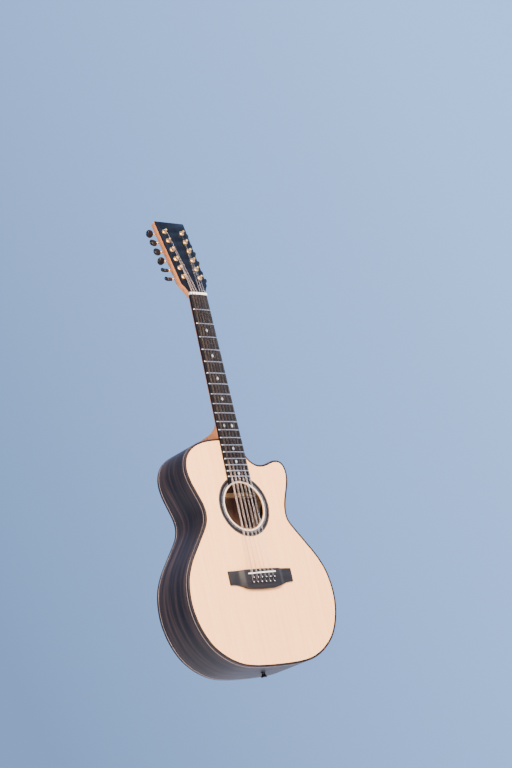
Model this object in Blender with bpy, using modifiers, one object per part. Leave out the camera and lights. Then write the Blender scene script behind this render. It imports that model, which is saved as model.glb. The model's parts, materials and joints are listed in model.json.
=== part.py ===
"""Twelve-string flat-top acoustic guitar with a rounded cutaway, as separate pieces.

Frame: metres. X runs to the treble side, Y from the front of the guitar to its back,
Z up along the neck. The origin is at the tail, on the centre line, halfway through the body.
"""
import math

import bmesh
import bpy
from mathutils import Matrix, Vector

MM = 0.001
GAP = 0.3 * MM                      # clearance between touching pieces

# --- driving dimensions -------------------------------------------------------------------
SCALE_LENGTH = 648 * MM
NUT_Z = 853 * MM                    # front face of the nut above the tail
JOINT_FRET = 13                     # the neck meets the body at this fret
JOINT_Z = NUT_Z - SCALE_LENGTH * (1 - 2 ** (-JOINT_FRET / 12)) + GAP
TOP_Y = -59 * MM                    # outer plane of the soundboard
TOP_THICK = 2.8 * MM
BACK_THICK = 2.6 * MM
RIB_THICK = 2.2 * MM

DEPTH_CENTRE = 117.9 * MM           # body depth at the middle of the lower bout
DOME_Z = 200 * MM                   # height of the back's dome centre
DOME_RADIUS = 4.5
BACK_TAPER = 0.0229                 # the body gets shallower towards the neck

BINDING_WIDE = 2.0 * MM
BINDING_HIGH = 6.0 * MM
LINING_WIDE = 5.5 * MM
LINING_HIGH = 15.0 * MM

HOLE_Z = 355 * MM
HOLE_RADIUS = 53.5 * MM

BOARD_THICK = 6.5 * MM              # fingerboard
CROWN_RADIUS = 0.400                # across the fingerboard, nut and saddle
NUT_HALF = 24 * MM
BOARD_FLARE = 0.01775               # growth of the half width per metre from the nut
BOARD_END_RADIUS = 57.5 * MM        # hollow end of the fingerboard, round the hole
NECK_DEPTH_NUT = 14.5 * MM
NECK_DEPTH_HEEL = 17.0 * MM
HEEL_TIP_DEPTH = 112 * MM
HEEL_TOP_Z = 551 * MM
HEEL_CAP_Z = 529 * MM
NECK_ROUND = 1.4                    # 1 is a half ellipse, more is slimmer near the board
HEEL_CAP_THICK = 3.2 * MM

HEAD_ANGLE = math.radians(13)
HEAD_THICK = 14.5 * MM
VENEER_THICK = 1.5 * MM

POST_HEIGHTS = [s * MM for s in (49, 74, 99.5, 126, 152, 178)]    # along the head, from the nut
POST_X = 23.6 * MM
POST_SPREAD = 0.3 * MM              # each pair of posts stands this much wider than the last
POST_RADIUS = 2.9 * MM
POST_TOP = 10 * MM                  # above the face of the head
WORM_DEPTH = 20.0 * MM              # worm axis behind the face of the head
WORM_OFFSET = 6.5 * MM              # worm axis above the post's axis, along the head
WORM_RADIUS = 1.5 * MM
GEAR_TEETH = 14
GEAR_RADIUS = WORM_OFFSET - WORM_RADIUS - GAP
TOOTH_HIGH = 0.7 * MM
BUTTON_ANGLES_BASS = (-32, -32, 50, 5, -3, 36)        # degrees each button is turned to
BUTTON_ANGLES_TREBLE = (85, -10, 80, 75, -15, 36)

SADDLE_TOP = 11.1 * MM              # above the soundboard, at the centre line
SADDLE_Z = 202.4 * MM
SADDLE_SLANT = math.radians(1.5)
NUT_TOP = 8.5 * MM
NUT_BACK_Z = NUT_Z + 5.6 * MM
PIN_ROWS_Z = (182 * MM, 192 * MM)
PIN_SHIFT = 1.6 * MM
PIN_SPACING = 11.7 * MM
COURSES = 6
NUT_COURSE = 7.6 * MM
NUT_PAIR = 1.0 * MM                 # half the distance within a pair
SADDLE_COURSE = 11.8 * MM
SADDLE_PAIR = 1.4 * MM
STRING_RADII = [d / 2 * MM for d in (0.76, 1.35, 0.51, 1.07, 0.36, 0.81,
                                     0.23, 0.61, 0.41, 0.41, 0.30, 0.30)]
STRING_HEIGHT = 4.5 * MM            # where a string meets its post, above the head's face

# --- the body's outline, in millimetres from the tail on the centre line --------------------
LOWER_BOUT = [(0, 0), (48, 1), (86, 5.2), (115, 14), (143.5, 30), (169, 53), (188.5, 85),
              (200.3, 122.5), (203, 160), (196, 200), (179, 236), (154, 270.5), (131, 301),
              (118.5, 321)]
HORN = [(117.3, 340), (121.3, 359), (130.7, 382), (140, 404), (144.8, 425), (143.8, 441),
        (138.5, 452), (130, 457.9), (119, 459.7), (105, 457.5), (88, 451.5), (72, 449),
        (58, 451.5), (46, 459), (37.5, 469), (32.5, 482), (30.5, 497), (29.5, 510.8)]
SHOULDER = [(29.5, 510.8), (0, 510.8), (-25, 510.6), (-50, 509.2), (-75, 505.5),
            (-98, 498.5), (-118, 486.5), (-132, 471), (-139.5, 453), (-141, 433),
            (-136, 409), (-126, 384), (-117, 361), (-113.8, 341)]
FACET_ANGLE = 9.0                   # degrees of outline that one straight piece may turn

HEAD_SIDE = [(24, 0), (24.6, 6), (27, 13.5), (31, 21), (36.5, 28.5)]
HEAD_TOP = [(42, 206), (41, 207)]
BRIDGE_REAR = [(88, 180), (74, 179.6), (60, 176), (46, 171.3), (30, 168.4), (0, 167.5)]
BRIDGE_FRONT = [(0, 211.5), (88, 210)]
BRIDGE_SECTION = [(88, 3.6), (64, 3.9), (59, 4.8), (54.5, 6.6), (51, 8.2), (48, 9.0)]

FINISHES = {                        # colour, metallic, roughness
    "spruce": ((0.80, 0.62, 0.43), 0.0, 0.35),
    "rosewood": ((0.060, 0.030, 0.022), 0.0, 0.25),
    "binding": ((0.09, 0.025, 0.015), 0.0, 0.30),
    "cedar": ((0.45, 0.24, 0.11), 0.0, 0.60),
    "mahogany": ((0.50, 0.22, 0.09), 0.0, 0.40),
    "ebony": ((0.018, 0.017, 0.018), 0.0, 0.40),
    "bone": ((0.85, 0.82, 0.72), 0.0, 0.35),
    "gold": ((0.80, 0.56, 0.22), 1.0, 0.25),
    "steel": ((0.55, 0.55, 0.56), 1.0, 0.30),
    "bronze": ((0.62, 0.47, 0.36), 1.0, 0.35),
}


# --- helpers ----------------------------------------------------------------------------------
def clear_scene():
    for obj in list(bpy.data.objects):
        bpy.data.objects.remove(obj, do_unlink=True)


def new_collection(name):
    collection = bpy.data.collections.new(name)
    bpy.context.scene.collection.children.link(collection)
    return collection


def add_object(name, data, collection, parent=None, location=(0, 0, 0)):
    obj = bpy.data.objects.new(name, data)
    collection.objects.link(obj)
    obj.parent = parent
    obj.location = location
    return obj


def add_part(name, data, finish, parent=None, location=(0, 0, 0)):
    """A visible piece with a material of its own."""
    obj = add_object(name, data, PARTS, parent, location)
    colour, metallic, roughness = FINISHES[finish]
    material = bpy.data.materials.new(name)
    material.use_nodes = True
    shader = material.node_tree.nodes["Principled BSDF"]
    shader.inputs["Base Color"].default_value = (*colour, 1)
    shader.inputs["Metallic"].default_value = metallic
    shader.inputs["Roughness"].default_value = roughness
    obj.data.materials.clear()
    obj.data.materials.append(material)
    return obj


def add_cutter(name, data, parent=None, location=(0, 0, 0)):
    obj = add_object(name, data, CUTTERS, parent, location)
    obj.hide_render = True
    obj.display_type = "WIRE"
    return obj


def boolean(obj, other, operation="DIFFERENCE"):
    modifier = obj.modifiers.new(other.name, "BOOLEAN")
    modifier.object = other
    modifier.operation = operation
    modifier.solver = "EXACT"


def bevel(obj, width, segments=1):
    modifier = obj.modifiers.new("edges", "BEVEL")
    modifier.width = width
    modifier.segments = segments
    modifier.limit_method = "ANGLE"
    modifier.angle_limit = math.radians(40)


def mesh_from(bm, name):
    bmesh.ops.recalc_face_normals(bm, faces=bm.faces)
    mesh = bpy.data.meshes.new(name)
    bm.to_mesh(mesh)
    bm.free()
    return mesh


def evaluated_mesh(obj):
    """The object's mesh with its modifiers applied, welded. The object itself is removed."""
    graph = bpy.context.evaluated_depsgraph_get()
    mesh = bpy.data.meshes.new_from_object(obj.evaluated_get(graph))
    bm = bmesh.new()
    bm.from_mesh(mesh)
    bmesh.ops.remove_doubles(bm, verts=bm.verts, dist=1e-6)
    bm.to_mesh(mesh)
    bm.free()
    bpy.data.objects.remove(obj, do_unlink=True)
    return mesh


def smooth(mesh, angle=35):
    mesh.shade_smooth()
    mesh.set_sharp_from_angle(angle=math.radians(angle))
    return mesh


def boxes(name, extents):
    """A mesh of one or more boxes, each given by its low and high corner."""
    bm = bmesh.new()
    for low, high in extents:
        low, high = Vector(low), Vector(high)
        size = high - low
        matrix = Matrix.Translation((low + high) / 2) @ Matrix.Diagonal((*size, 1))
        bmesh.ops.create_cube(bm, size=1, matrix=matrix)
    return mesh_from(bm, name)


def cylinders(name, axes, sides=12):
    """A mesh of one or more cylinders, each given by its two end points and its radius."""
    bm = bmesh.new()
    for start, end, radius in axes:
        start, end = Vector(start), Vector(end)
        run = end - start
        matrix = (Matrix.Translation((start + end) / 2)
                  @ run.to_track_quat("Z", "Y").to_matrix().to_4x4())
        bmesh.ops.create_cone(bm, cap_ends=True, segments=sides, radius1=radius,
                              radius2=radius, depth=run.length, matrix=matrix)
    return mesh_from(bm, name)


def plate(name, outline, low, high, turn=True):
    """A flat outline with a thickness, as a mesh.

    turn stands the outline up in XZ and runs the thickness along Y from low to high;
    otherwise the outline lies in XY and the thickness runs along Z.
    """
    curve = bpy.data.curves.new(name, "CURVE")
    curve.dimensions = "2D"
    curve.fill_mode = "BOTH"
    curve.extrude = (high - low) / 2
    spline = curve.splines.new("POLY")
    spline.points.add(len(outline) - 1)
    for point, (u, v) in zip(spline.points, outline):
        point.co = (u, v, 0, 1)
    spline.use_cyclic_u = True
    mesh = evaluated_mesh(add_object(name, curve, CUTTERS))
    if turn:
        mesh.transform(Matrix.Rotation(math.pi / 2, 4, "X"))
        mesh.transform(Matrix.Translation((0, (low + high) / 2, 0)))
    else:
        mesh.transform(Matrix.Translation((0, 0, (low + high) / 2)))
    return mesh


def loft(name, sections):
    """A closed body through sections that all have the same number of points."""
    bm = bmesh.new()
    rings = [[bm.verts.new(point) for point in section] for section in sections]
    count = len(rings[0])
    for ring, following in zip(rings, rings[1:]):
        for i in range(count):
            j = (i + 1) % count
            bm.faces.new((ring[i], ring[j], following[j], following[i]))
    bm.faces.new(rings[0])
    bm.faces.new(rings[-1])
    return mesh_from(bm, name)


def turned(name, profile, steps):
    """A profile of (radius, height) points, top to bottom, turned about Z."""
    bm = bmesh.new()
    points = [bm.verts.new((radius, 0, height)) for radius, height in profile]
    for start, end in zip(points, points[1:]):
        bm.edges.new((start, end))
    mesh = bpy.data.meshes.new(name)
    bm.to_mesh(mesh)
    bm.free()
    obj = add_object(name, mesh, CUTTERS)
    screw = obj.modifiers.new("turn", "SCREW")
    screw.steps = screw.render_steps = steps
    screw.use_merge_vertices = True
    screw.merge_threshold = 0.00005
    return smooth(evaluated_mesh(obj))


# --- curves and surfaces of the body -------------------------------------------------------------
def curve_through(points):
    """A curve through the points, straight pieces no coarser than FACET_ANGLE each."""
    points = [Vector(p) for p in points]
    slopes = [(points[1] - points[0]).normalized()]
    slopes += [(after - before).normalized() for before, after in zip(points, points[2:])]
    slopes += [(points[-1] - points[-2]).normalized()]
    found = [points[0]]
    for a, b, at_a, at_b in zip(points, points[1:], slopes, slopes[1:]):
        pieces = max(1, math.ceil(math.degrees(at_a.angle(at_b)) / FACET_ANGLE))
        reach = (b - a).length
        for k in range(1, pieces + 1):
            t = k / pieces
            found.append((2 * t**3 - 3 * t**2 + 1) * a + (t**3 - 2 * t**2 + t) * reach * at_a
                         + (3 * t**2 - 2 * t**3) * b + (t**3 - t**2) * reach * at_b)
    return found


def mirrored(points):
    return [(-x, z) for x, z in reversed(points)]


def body_outline():
    """The closed outline, anticlockwise from the neck's treble corner, in metres."""
    chain = SHOULDER + mirrored(LOWER_BOUT) + LOWER_BOUT[1:] + HORN
    return [p * MM for p in curve_through(chain)[:-1]]


def inset(outline, distance):
    """The closed outline moved inwards by the distance, corners kept square."""
    found = []
    for before, here, after in zip(outline[-1:] + outline[:-1], outline,
                                   outline[1:] + outline[:1]):
        first = (here - before).normalized()
        second = (after - here).normalized()
        normals = Vector((-first.y, first.x)), Vector((-second.y, second.x))
        middle = (normals[0] + normals[1]).normalized()
        found.append(here + middle * (distance / middle.dot(normals[0])))
    return found


def back_y(x, z):
    """The outer surface of the domed back."""
    dome = (x * x + (z - DOME_Z) ** 2) / (2 * DOME_RADIUS)
    return TOP_Y + DEPTH_CENTRE - BACK_TAPER * (z - DOME_Z) - dome


def ribbon(name, path, front, back, thickness, closed):
    """A wall that follows the path, front and back giving its edges at each point."""
    bm = bmesh.new()
    rows = [(bm.verts.new((x, front(x, z), z)), bm.verts.new((x, back(x, z), z)))
            for x, z in path]
    following = rows[1:] + (rows[:1] if closed else [])
    for (a, b), (c, d) in zip(rows, following):
        bm.faces.new((a, c, d, b))
    mesh = bpy.data.meshes.new(name)
    bm.to_mesh(mesh)
    bm.free()
    obj = add_object(name, mesh, CUTTERS)
    solid = obj.modifiers.new("wall", "SOLIDIFY")
    solid.thickness = thickness
    solid.offset = 1
    solid.use_even_offset = True
    return smooth(evaluated_mesh(obj))


def from_front(distance):
    return lambda x, z: TOP_Y + distance


def from_back(distance):
    return lambda x, z: back_y(x, z) - distance


def half(outline, bass):
    """One side of the outline, from centre line to centre line, ending GAP / 2 short of it."""
    tail = next(i for i, p in enumerate(outline) if p.length < 1e-9)
    top = next(i for i, p in enumerate(outline) if abs(p.x) < 1e-9 and p.y > DOME_Z)
    path = outline[top:tail + 1] if bass else outline[tail:] + outline[:top + 1]
    side = -GAP / 2 if bass else GAP / 2
    return ([Vector((side, path[0].y))] + path[1:-1] + [Vector((side, path[-1].y))])


# --- body --------------------------------------------------------------------------------------------
def make_soundboard(outline):
    edge = inset(outline, BINDING_WIDE + GAP)
    board = add_part("soundboard", plate("soundboard", edge, TOP_Y, TOP_Y + TOP_THICK), "spruce")
    hole = cylinders("sound_hole", [((0, TOP_Y - 10 * MM, HOLE_Z), (0, TOP_Y + 10 * MM, HOLE_Z),
                                     HOLE_RADIUS)], sides=48)
    boolean(board, add_cutter("sound_hole", hole))


def make_back(outline):
    """The domed back: rings of the outline drawn in towards one point, then thickened."""
    centre = Vector((0, 0.230))
    edge = inset(outline, BINDING_WIDE + GAP)
    bm = bmesh.new()
    rings = [[centre + (p - centre) * share for p in edge] for share in (1, 0.66, 0.33)]
    rings = [[bm.verts.new((x, back_y(x, z), z)) for x, z in ring] for ring in rings]
    middle = bm.verts.new((centre.x, back_y(*centre), centre.y))
    count = len(edge)
    for i in range(count):
        j = (i + 1) % count
        for outer, inner in zip(rings, rings[1:]):
            bm.faces.new((outer[i], outer[j], inner[j], inner[i]))
        bm.faces.new((rings[-1][i], rings[-1][j], middle))
    mesh = bpy.data.meshes.new("back_plate")
    bm.to_mesh(mesh)
    bm.free()
    obj = add_object("back_plate", mesh, CUTTERS)
    solid = obj.modifiers.new("sheet", "SOLIDIFY")
    solid.thickness = BACK_THICK
    solid.offset = 1
    add_part("back_plate", smooth(evaluated_mesh(obj)), "rosewood")


def make_ribs(outline, tenon, pin_hole):
    for name, bass in (("rib_bass", True), ("rib_treble", False)):
        wall = ribbon(name, half(outline, bass), from_front(BINDING_HIGH + GAP),
                      from_back(BINDING_HIGH + GAP), RIB_THICK, closed=False)
        rib = add_part(name, wall, "rosewood")
        boolean(rib, tenon)
        boolean(rib, pin_hole)


def make_bindings(outline):
    front = ribbon("top_binding", outline, from_front(0), from_front(BINDING_HIGH),
                   BINDING_WIDE, closed=True)
    add_part("top_binding", front, "binding")
    back = ribbon("back_binding", outline, from_back(BINDING_HIGH), from_back(0),
                  BINDING_WIDE, closed=True)
    add_part("back_binding", back, "binding")


def make_linings(outline):
    """Strips glued inside the ribs: they carry the soundboard and the back, and stop at the neck block."""
    path = inset(outline, RIB_THICK + GAP)
    start = next(i for i, p in enumerate(outline) if p.x < -45 * MM)
    end = max(i for i, p in enumerate(outline) if p.x > 44 * MM)
    path = path[start:end + 1]
    top_edge = TOP_THICK + GAP
    top = ribbon("top_lining", path, from_front(top_edge), from_front(top_edge + LINING_HIGH),
                 LINING_WIDE, closed=False)
    add_part("top_lining", top, "cedar")
    back_edge = BACK_THICK + GAP
    back = ribbon("back_lining", path, from_back(back_edge + LINING_HIGH),
                  from_back(back_edge), LINING_WIDE, closed=False)
    add_part("back_lining", back, "cedar")


def wedge_block(name, low, high):
    """A block between soundboard and back whose rear face follows the back's taper."""
    (x0, z0), (x1, z1) = low, high
    front = TOP_Y + TOP_THICK + GAP
    side = max(abs(x0), abs(x1))
    rear = BACK_THICK + 2 * GAP
    sections = []
    for z in (z0, z1):
        y = back_y(side, z) - rear
        sections.append([(x0, front, z), (x1, front, z), (x1, y, z), (x0, y, z)])
    return loft(name, sections)


def make_blocks(tenon, pin_hole):
    neck_block = wedge_block("neck_block", (-34 * MM, 458 * MM), (26.4 * MM, 507.4 * MM))
    block = add_part("neck_block", neck_block, "mahogany")
    boolean(block, tenon)
    inner = wedge_block("tail_block", (-38 * MM, 9.4 * MM), (38 * MM, 27 * MM))
    block = add_part("tail_block", inner, "mahogany")
    front = TOP_Y + TOP_THICK + LINING_HIGH + 2 * GAP
    rear = back_y(38 * MM, 0) - BACK_THICK - LINING_HIGH - 3 * GAP
    pad = boxes("tail_pad", [((-34 * MM, front, 3.6 * MM), (34 * MM, rear, 12 * MM))])
    boolean(block, add_cutter("tail_pad", pad), "UNION")
    boolean(block, pin_hole)


def bar(start, end, wide, high, sink=0):
    """A brace on the soundboard's inner face between two points of its plan, in millimetres.

    sink starts it a hair deeper, so that braces that cross never share a face's plane.
    """
    start, end = Vector(start) * MM, Vector(end) * MM
    run = (end - start).normalized()
    across = Vector((-run.y, run.x)) * (wide * MM / 2)
    near = TOP_Y + TOP_THICK + GAP + sink * MM
    far = near + (high - sink) * MM
    plan = [start + across, start - across, end - across, end + across]
    return plate("bar", plan, near, far)


def make_top_braces():
    """The X, the transverse bar above the hole, the bars beside the hole and the tone bars."""
    bars = [bar((-104, 371), (169, 107), 8, 12), bar((104, 371), (-169, 107), 8, 11.9, 0.02),
            bar((-129, 425), (129, 425), 10, 14, 0.01), bar((-67, 332), (-67, 425), 8, 6, 0.03),
            bar((67, 332), (67, 425), 8, 6, 0.03), bar((120, 154), (-80, 98), 7, 8, 0.02),
            bar((152, 124), (-30, 52), 7, 8, 0.04)]
    braces = add_part("top_braces", bars[0], "spruce")
    for i, mesh in enumerate(bars[1:]):
        boolean(braces, add_cutter(f"top_brace_{i + 2}", mesh), "UNION")


def back_bar(points, wide, high, across):
    """A brace that follows the back's inner face through the points of its plan, in millimetres."""
    sections = []
    for x, z in points:
        x, z = x * MM, z * MM
        y = back_y(x, z) - BACK_THICK - 2 * GAP
        side = Vector(across) * (wide * MM / 2)
        left, right = (x - side.x, z - side.y), (x + side.x, z + side.y)
        sections.append([(left[0], y, left[1]), (right[0], y, right[1]),
                         (right[0], y - high * MM, right[1]), (left[0], y - high * MM, left[1])])
    return loft("bar", sections)


def make_back_braces():
    """Four ladder braces over a centre strip."""
    strip = back_bar([(0, z) for z in (32, 160, 290, 420, 450)], 18, 2.5, (1, 0))
    braces = add_part("back_braces", strip, "spruce")
    for i, (reach, z) in enumerate(((180, 100), (172, 225), (104, 330), (126, 411))):
        steps = [reach * k / 3 for k in range(-3, 4)]
        mesh = back_bar([(x, z) for x in steps], 9, 12 if z < 300 else 9, (0, 1))
        boolean(braces, add_cutter(f"back_brace_{i + 1}", mesh), "UNION")


def make_bridge_plate():
    plan = [Vector(p) * MM for p in ((-50, 213), (50, 213), (90, 166), (-90, 166))]
    low = TOP_Y + TOP_THICK + GAP
    add_part("bridge_plate", plate("bridge_plate", plan, low, low + 2.4 * MM), "mahogany")


def make_end_pin():
    profile = [(0, 26), (3.2, 26), (3.8, -0.3), (5.4, -0.5), (4.3, -2.5), (4.3, -5), (7.2, -9),
               (6.8, -11), (0, -11)]
    pin = turned("end_pin", [(r * MM, h * MM) for r, h in profile], steps=14)
    add_part("end_pin", pin, "ebony")


# --- bridge, saddle, nut ------------------------------------------------------------------------------------
def crown(x):
    """How far the playing surface falls away at a distance from the centre line."""
    return x * x / (2 * CROWN_RADIUS)


def course_x(index, course, pair):
    """The sideways place of string 0 to 11, bass to treble."""
    place = index // 2 - (COURSES - 1) / 2
    return place * course + (pair if index % 2 else -pair)


def pin_place(index):
    place = index // 2 - (COURSES - 1) / 2
    shift = PIN_SHIFT if index % 2 else -PIN_SHIFT
    return place * PIN_SPACING + shift, PIN_ROWS_Z[index % 2]


def saddle_z(x):
    return SADDLE_Z + x * math.tan(SADDLE_SLANT)


def make_bridge():
    """Where the plan outline and the thickness profile meet, with the slot and the pin holes cut."""
    rear = [p * MM for p in curve_through(BRIDGE_REAR)]
    plan = rear + [Vector((-p.x, p.y)) for p in reversed(rear[:-1])]
    front = [Vector(p) * MM for p in BRIDGE_FRONT]
    plan += [Vector((-front[1].x, front[1].y)), front[0], front[1]]
    section = [Vector((x * MM, TOP_Y - h * MM)) for x, h in BRIDGE_SECTION]
    section += [Vector((-p.x, p.y)) for p in reversed(section)]
    side = 89 * MM
    section += [Vector((-side, section[-1].y)), Vector((-side, TOP_Y - GAP)),
                Vector((side, TOP_Y - GAP)), Vector((side, section[0].y))]
    bridge = add_part("bridge", plate("bridge", plan, TOP_Y - 20 * MM, TOP_Y + 10 * MM), "ebony")
    profile = plate("bridge_profile", section, 150 * MM, 230 * MM, turn=False)
    boolean(bridge, add_cutter("bridge_profile", profile), "INTERSECT")
    slot = boxes("saddle_slot", [((-39.3 * MM, TOP_Y - 20 * MM, -1.8 * MM),
                                  (39.3 * MM, TOP_Y - 2.2 * MM, 1.8 * MM))])
    slot = add_cutter("saddle_slot", slot, location=(0, 0, SADDLE_Z))
    slot.rotation_euler.y = -SADDLE_SLANT
    boolean(bridge, slot)
    holes = [((x, TOP_Y - 20 * MM, z), (x, TOP_Y - 2.0 * MM, z), 2.3 * MM)
             for x, z in map(pin_place, range(2 * COURSES))]
    boolean(bridge, add_cutter("pin_holes", cylinders("pin_holes", holes, sides=10)))


def crowned_bar(name, half_width, low, top, thick):
    """A bar across the strings with a crowned top edge, centred on Z = 0."""
    across = [half_width * k / 4 for k in range(-4, 5)]
    section = [Vector((x, TOP_Y - top + crown(x))) for x in across]
    section += [Vector((half_width, TOP_Y - low)), Vector((-half_width, TOP_Y - low))]
    return plate(name, section, -thick / 2, thick / 2, turn=False)


def make_saddle():
    mesh = crowned_bar("saddle", 38.8 * MM, 2.6 * MM, SADDLE_TOP, 3.0 * MM)
    saddle = add_part("saddle", mesh, "bone", location=(0, 0, SADDLE_Z))
    saddle.rotation_euler.y = -SADDLE_SLANT


def make_nut():
    low, high = NUT_Z + GAP, NUT_BACK_Z
    mesh = crowned_bar("nut", NUT_HALF, 0.3 * MM, NUT_TOP, high - low)
    nut = add_part("nut", mesh, "bone", location=(0, 0, (low + high) / 2))
    slots = []
    for i, radius in enumerate(STRING_RADII):
        x = course_x(i, NUT_COURSE, NUT_PAIR)
        y = nut_string_y(i)
        slots.append(((x, y, NUT_Z - 2 * MM), (x, y, NUT_BACK_Z + 2 * MM), radius + GAP))
    boolean(nut, add_cutter("nut_slots", cylinders("nut_slots", slots, sides=6)))


# --- neck and head ------------------------------------------------------------------------------------------
def board_half(z):
    return NUT_HALF + BOARD_FLARE * (NUT_Z - z)


def neck_section(z, depth, power=NECK_ROUND):
    """The neck's outline at a height: flat in front, rounded behind."""
    half_width = board_half(z)
    points = []
    for k in range(13):
        angle = math.pi * k / 12
        rise = abs(math.sin(angle)) ** power
        points.append((-half_width * math.cos(angle), TOP_Y + depth * rise, z))
    return points


def make_neck(tenon_solid, post_holes):
    shaft = [(884, NECK_DEPTH_NUT - 1 * MM), (862, NECK_DEPTH_NUT), (NUT_Z / MM, NECK_DEPTH_NUT),
             (700, 15.6 * MM), (HEEL_TOP_Z / MM + 14, NECK_DEPTH_HEEL - 0.3 * MM)]
    sections = [neck_section(z * MM, depth) for z, depth in shaft]
    for k in range(7):
        angle = math.radians(15 * k)
        z = HEEL_TOP_Z - (HEEL_TOP_Z - HEEL_CAP_Z) * math.sin(angle)
        part = 1 - math.cos(angle)
        depth = NECK_DEPTH_HEEL + (HEEL_TIP_DEPTH - NECK_DEPTH_HEEL) * part
        sections.append(neck_section(z, depth, NECK_ROUND + (1 - NECK_ROUND) * part))
    sections.append(neck_section(JOINT_Z, HEEL_TIP_DEPTH, 1))
    neck = add_part("neck", smooth(loft("neck", sections)), "mahogany")

    wood = plate("head_wood", head_outline(0), VENEER_THICK + GAP, HEAD_THICK)
    boolean(neck, add_cutter("head_wood", wood, HEAD), "UNION")
    in_front = boxes("head_front", [((-0.08, -0.05, 6.3 * MM), (0.08, VENEER_THICK + GAP, 0.23))])
    boolean(neck, add_cutter("head_front", in_front, HEAD))
    seat = boxes("nut_seat", [((-0.08, TOP_Y - 0.05, 0.80), (0.08, TOP_Y, NUT_BACK_Z + GAP))])
    boolean(neck, add_cutter("nut_seat", seat))
    cap_y = back_y(0, 511 * MM) - HEEL_CAP_THICK - GAP
    tip = boxes("heel_end", [((-0.04, cap_y, 0.50), (0.04, cap_y + 0.05, 0.56))])
    boolean(neck, add_cutter("heel_end", tip))
    boolean(neck, add_cutter("tenon", tenon_solid), "UNION")
    channel = boxes("rod_channel", [((-3.3 * MM, TOP_Y - 0.01, 516 * MM),
                                     (3.3 * MM, TOP_Y + 9.5 * MM, 846 * MM))])
    boolean(neck, add_cutter("rod_channel", channel))
    boolean(neck, post_holes)


def make_heel_cap():
    y = back_y(0, 511 * MM)
    half_width = 29.5 * MM * math.sqrt(1 - ((y - TOP_Y) / HEEL_TIP_DEPTH) ** 2)
    plan = [Vector((-half_width, JOINT_Z)), Vector((half_width, JOINT_Z))]
    for k in range(9):
        angle = math.pi * k / 8
        plan.append(Vector((half_width * math.cos(angle), 524 * MM + 8 * MM * math.sin(angle))))
    cap = plate("heel_cap", plan, y - HEEL_CAP_THICK, y)
    add_part("heel_cap", cap, "ebony")


def make_truss_rod():
    y = TOP_Y + 4.8 * MM
    rod = cylinders("truss_rod", [((0, y, 518 * MM), (0, y, 844 * MM), 2.2 * MM)], sides=10)
    rod = add_part("truss_rod", rod, "steel")
    ends = boxes("rod_ends", [((-3 * MM, y - 3.2 * MM, z0 * MM), (3 * MM, y + 3.2 * MM, z1 * MM))
                              for z0, z1 in ((517, 527), (835, 845))])
    boolean(rod, add_cutter("rod_ends", ends), "UNION")


def make_fingerboard():
    sections = []
    for z in (NUT_Z, 402.5 * MM):
        side = board_half(z)
        across = [side * k / 3 for k in range(-3, 4)]
        top = [(x, TOP_Y - BOARD_THICK + crown(x), z) for x in across]
        sections.append(top + [(side, TOP_Y - GAP, z), (-side, TOP_Y - GAP, z)])
    board = add_part("fingerboard", loft("fingerboard", sections), "ebony")
    end = cylinders("board_end", [((0, TOP_Y - 0.03, HOLE_Z), (0, TOP_Y + 0.01, HOLE_Z),
                                   BOARD_END_RADIUS)], sides=72)
    boolean(board, add_cutter("board_end", end))


def head_outline(start):
    """The head's face, from start millimetres above the nut line to its straight top."""
    side = curve_through(HEAD_SIDE)
    if start:
        side = [Vector((24.8, start))] + [p for p in side if p.y > start]
    side = [p * MM for p in side + [Vector(p) for p in HEAD_TOP]]
    return side + [Vector((-p.x, p.y)) for p in reversed(side)]


def make_head_veneer(post_holes):
    mesh = plate("head_veneer", head_outline(6.8), 0, VENEER_THICK)
    veneer = add_part("head_veneer", mesh, "ebony", HEAD)
    boolean(veneer, post_holes)


# --- tuners: posts with gears, buttons with worms, housings -----------------------------------------------
def post_x(row):
    return POST_X + POST_SPREAD * row


def sides():
    """The name, the sideways sign and the button angles of each side."""
    return (("bass", -1, BUTTON_ANGLES_BASS), ("treble", 1, BUTTON_ANGLES_TREBLE))


def post_hole_cutter():
    holes = [((sign * post_x(row), -0.02, s), (sign * post_x(row), 0.03, s),
              POST_RADIUS + 0.4 * MM)
             for _, sign, _ in sides() for row, s in enumerate(POST_HEIGHTS)]
    return add_cutter("post_holes", cylinders("post_holes", holes, sides=12), HEAD)


def make_post_mesh():
    """A post with its gear wheel. Its axis is Y, and Y = 0 is the head's face."""
    post = cylinders("post", [((0, -POST_TOP, 0), (0, 19.0 * MM, 0), POST_RADIUS)], sides=12)
    post = add_object("post", post, CUTTERS)
    rim = []
    for k in range(2 * GEAR_TEETH):
        radius = GEAR_RADIUS if k % 2 else GEAR_RADIUS - TOOTH_HIGH
        angle = math.pi * k / GEAR_TEETH
        rim.append(Vector((radius * math.cos(angle), radius * math.sin(angle))))
    gear = add_cutter("gear", plate("gear", rim, WORM_DEPTH - 1.4 * MM, WORM_DEPTH + 1.4 * MM))
    boolean(post, gear, "UNION")
    return smooth(evaluated_mesh(post))


def make_button_mesh(sign):
    """Worm, shaft and paddle along X, outwards from the post's axis."""
    shaft = WORM_RADIUS / MM
    rings = [(-4.7, shaft, shaft), (17.6, shaft, shaft), (18.6, 4.8, 3.4), (21.0, 7.9, 3.4),
             (26.0, 9.6, 3.3), (31.0, 8.8, 4.2), (33.6, 6.0, 4.1), (34.2, 4.4, 3.4)]
    sections = []
    for reach, wide, thick in rings:
        section = []
        for k in range(10):
            angle = 2 * math.pi * k / 10
            section.append((sign * reach * MM, thick * MM * math.sin(angle),
                            wide * MM * math.cos(angle)))
        sections.append(section)
    return smooth(loft("button", sections))


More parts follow.
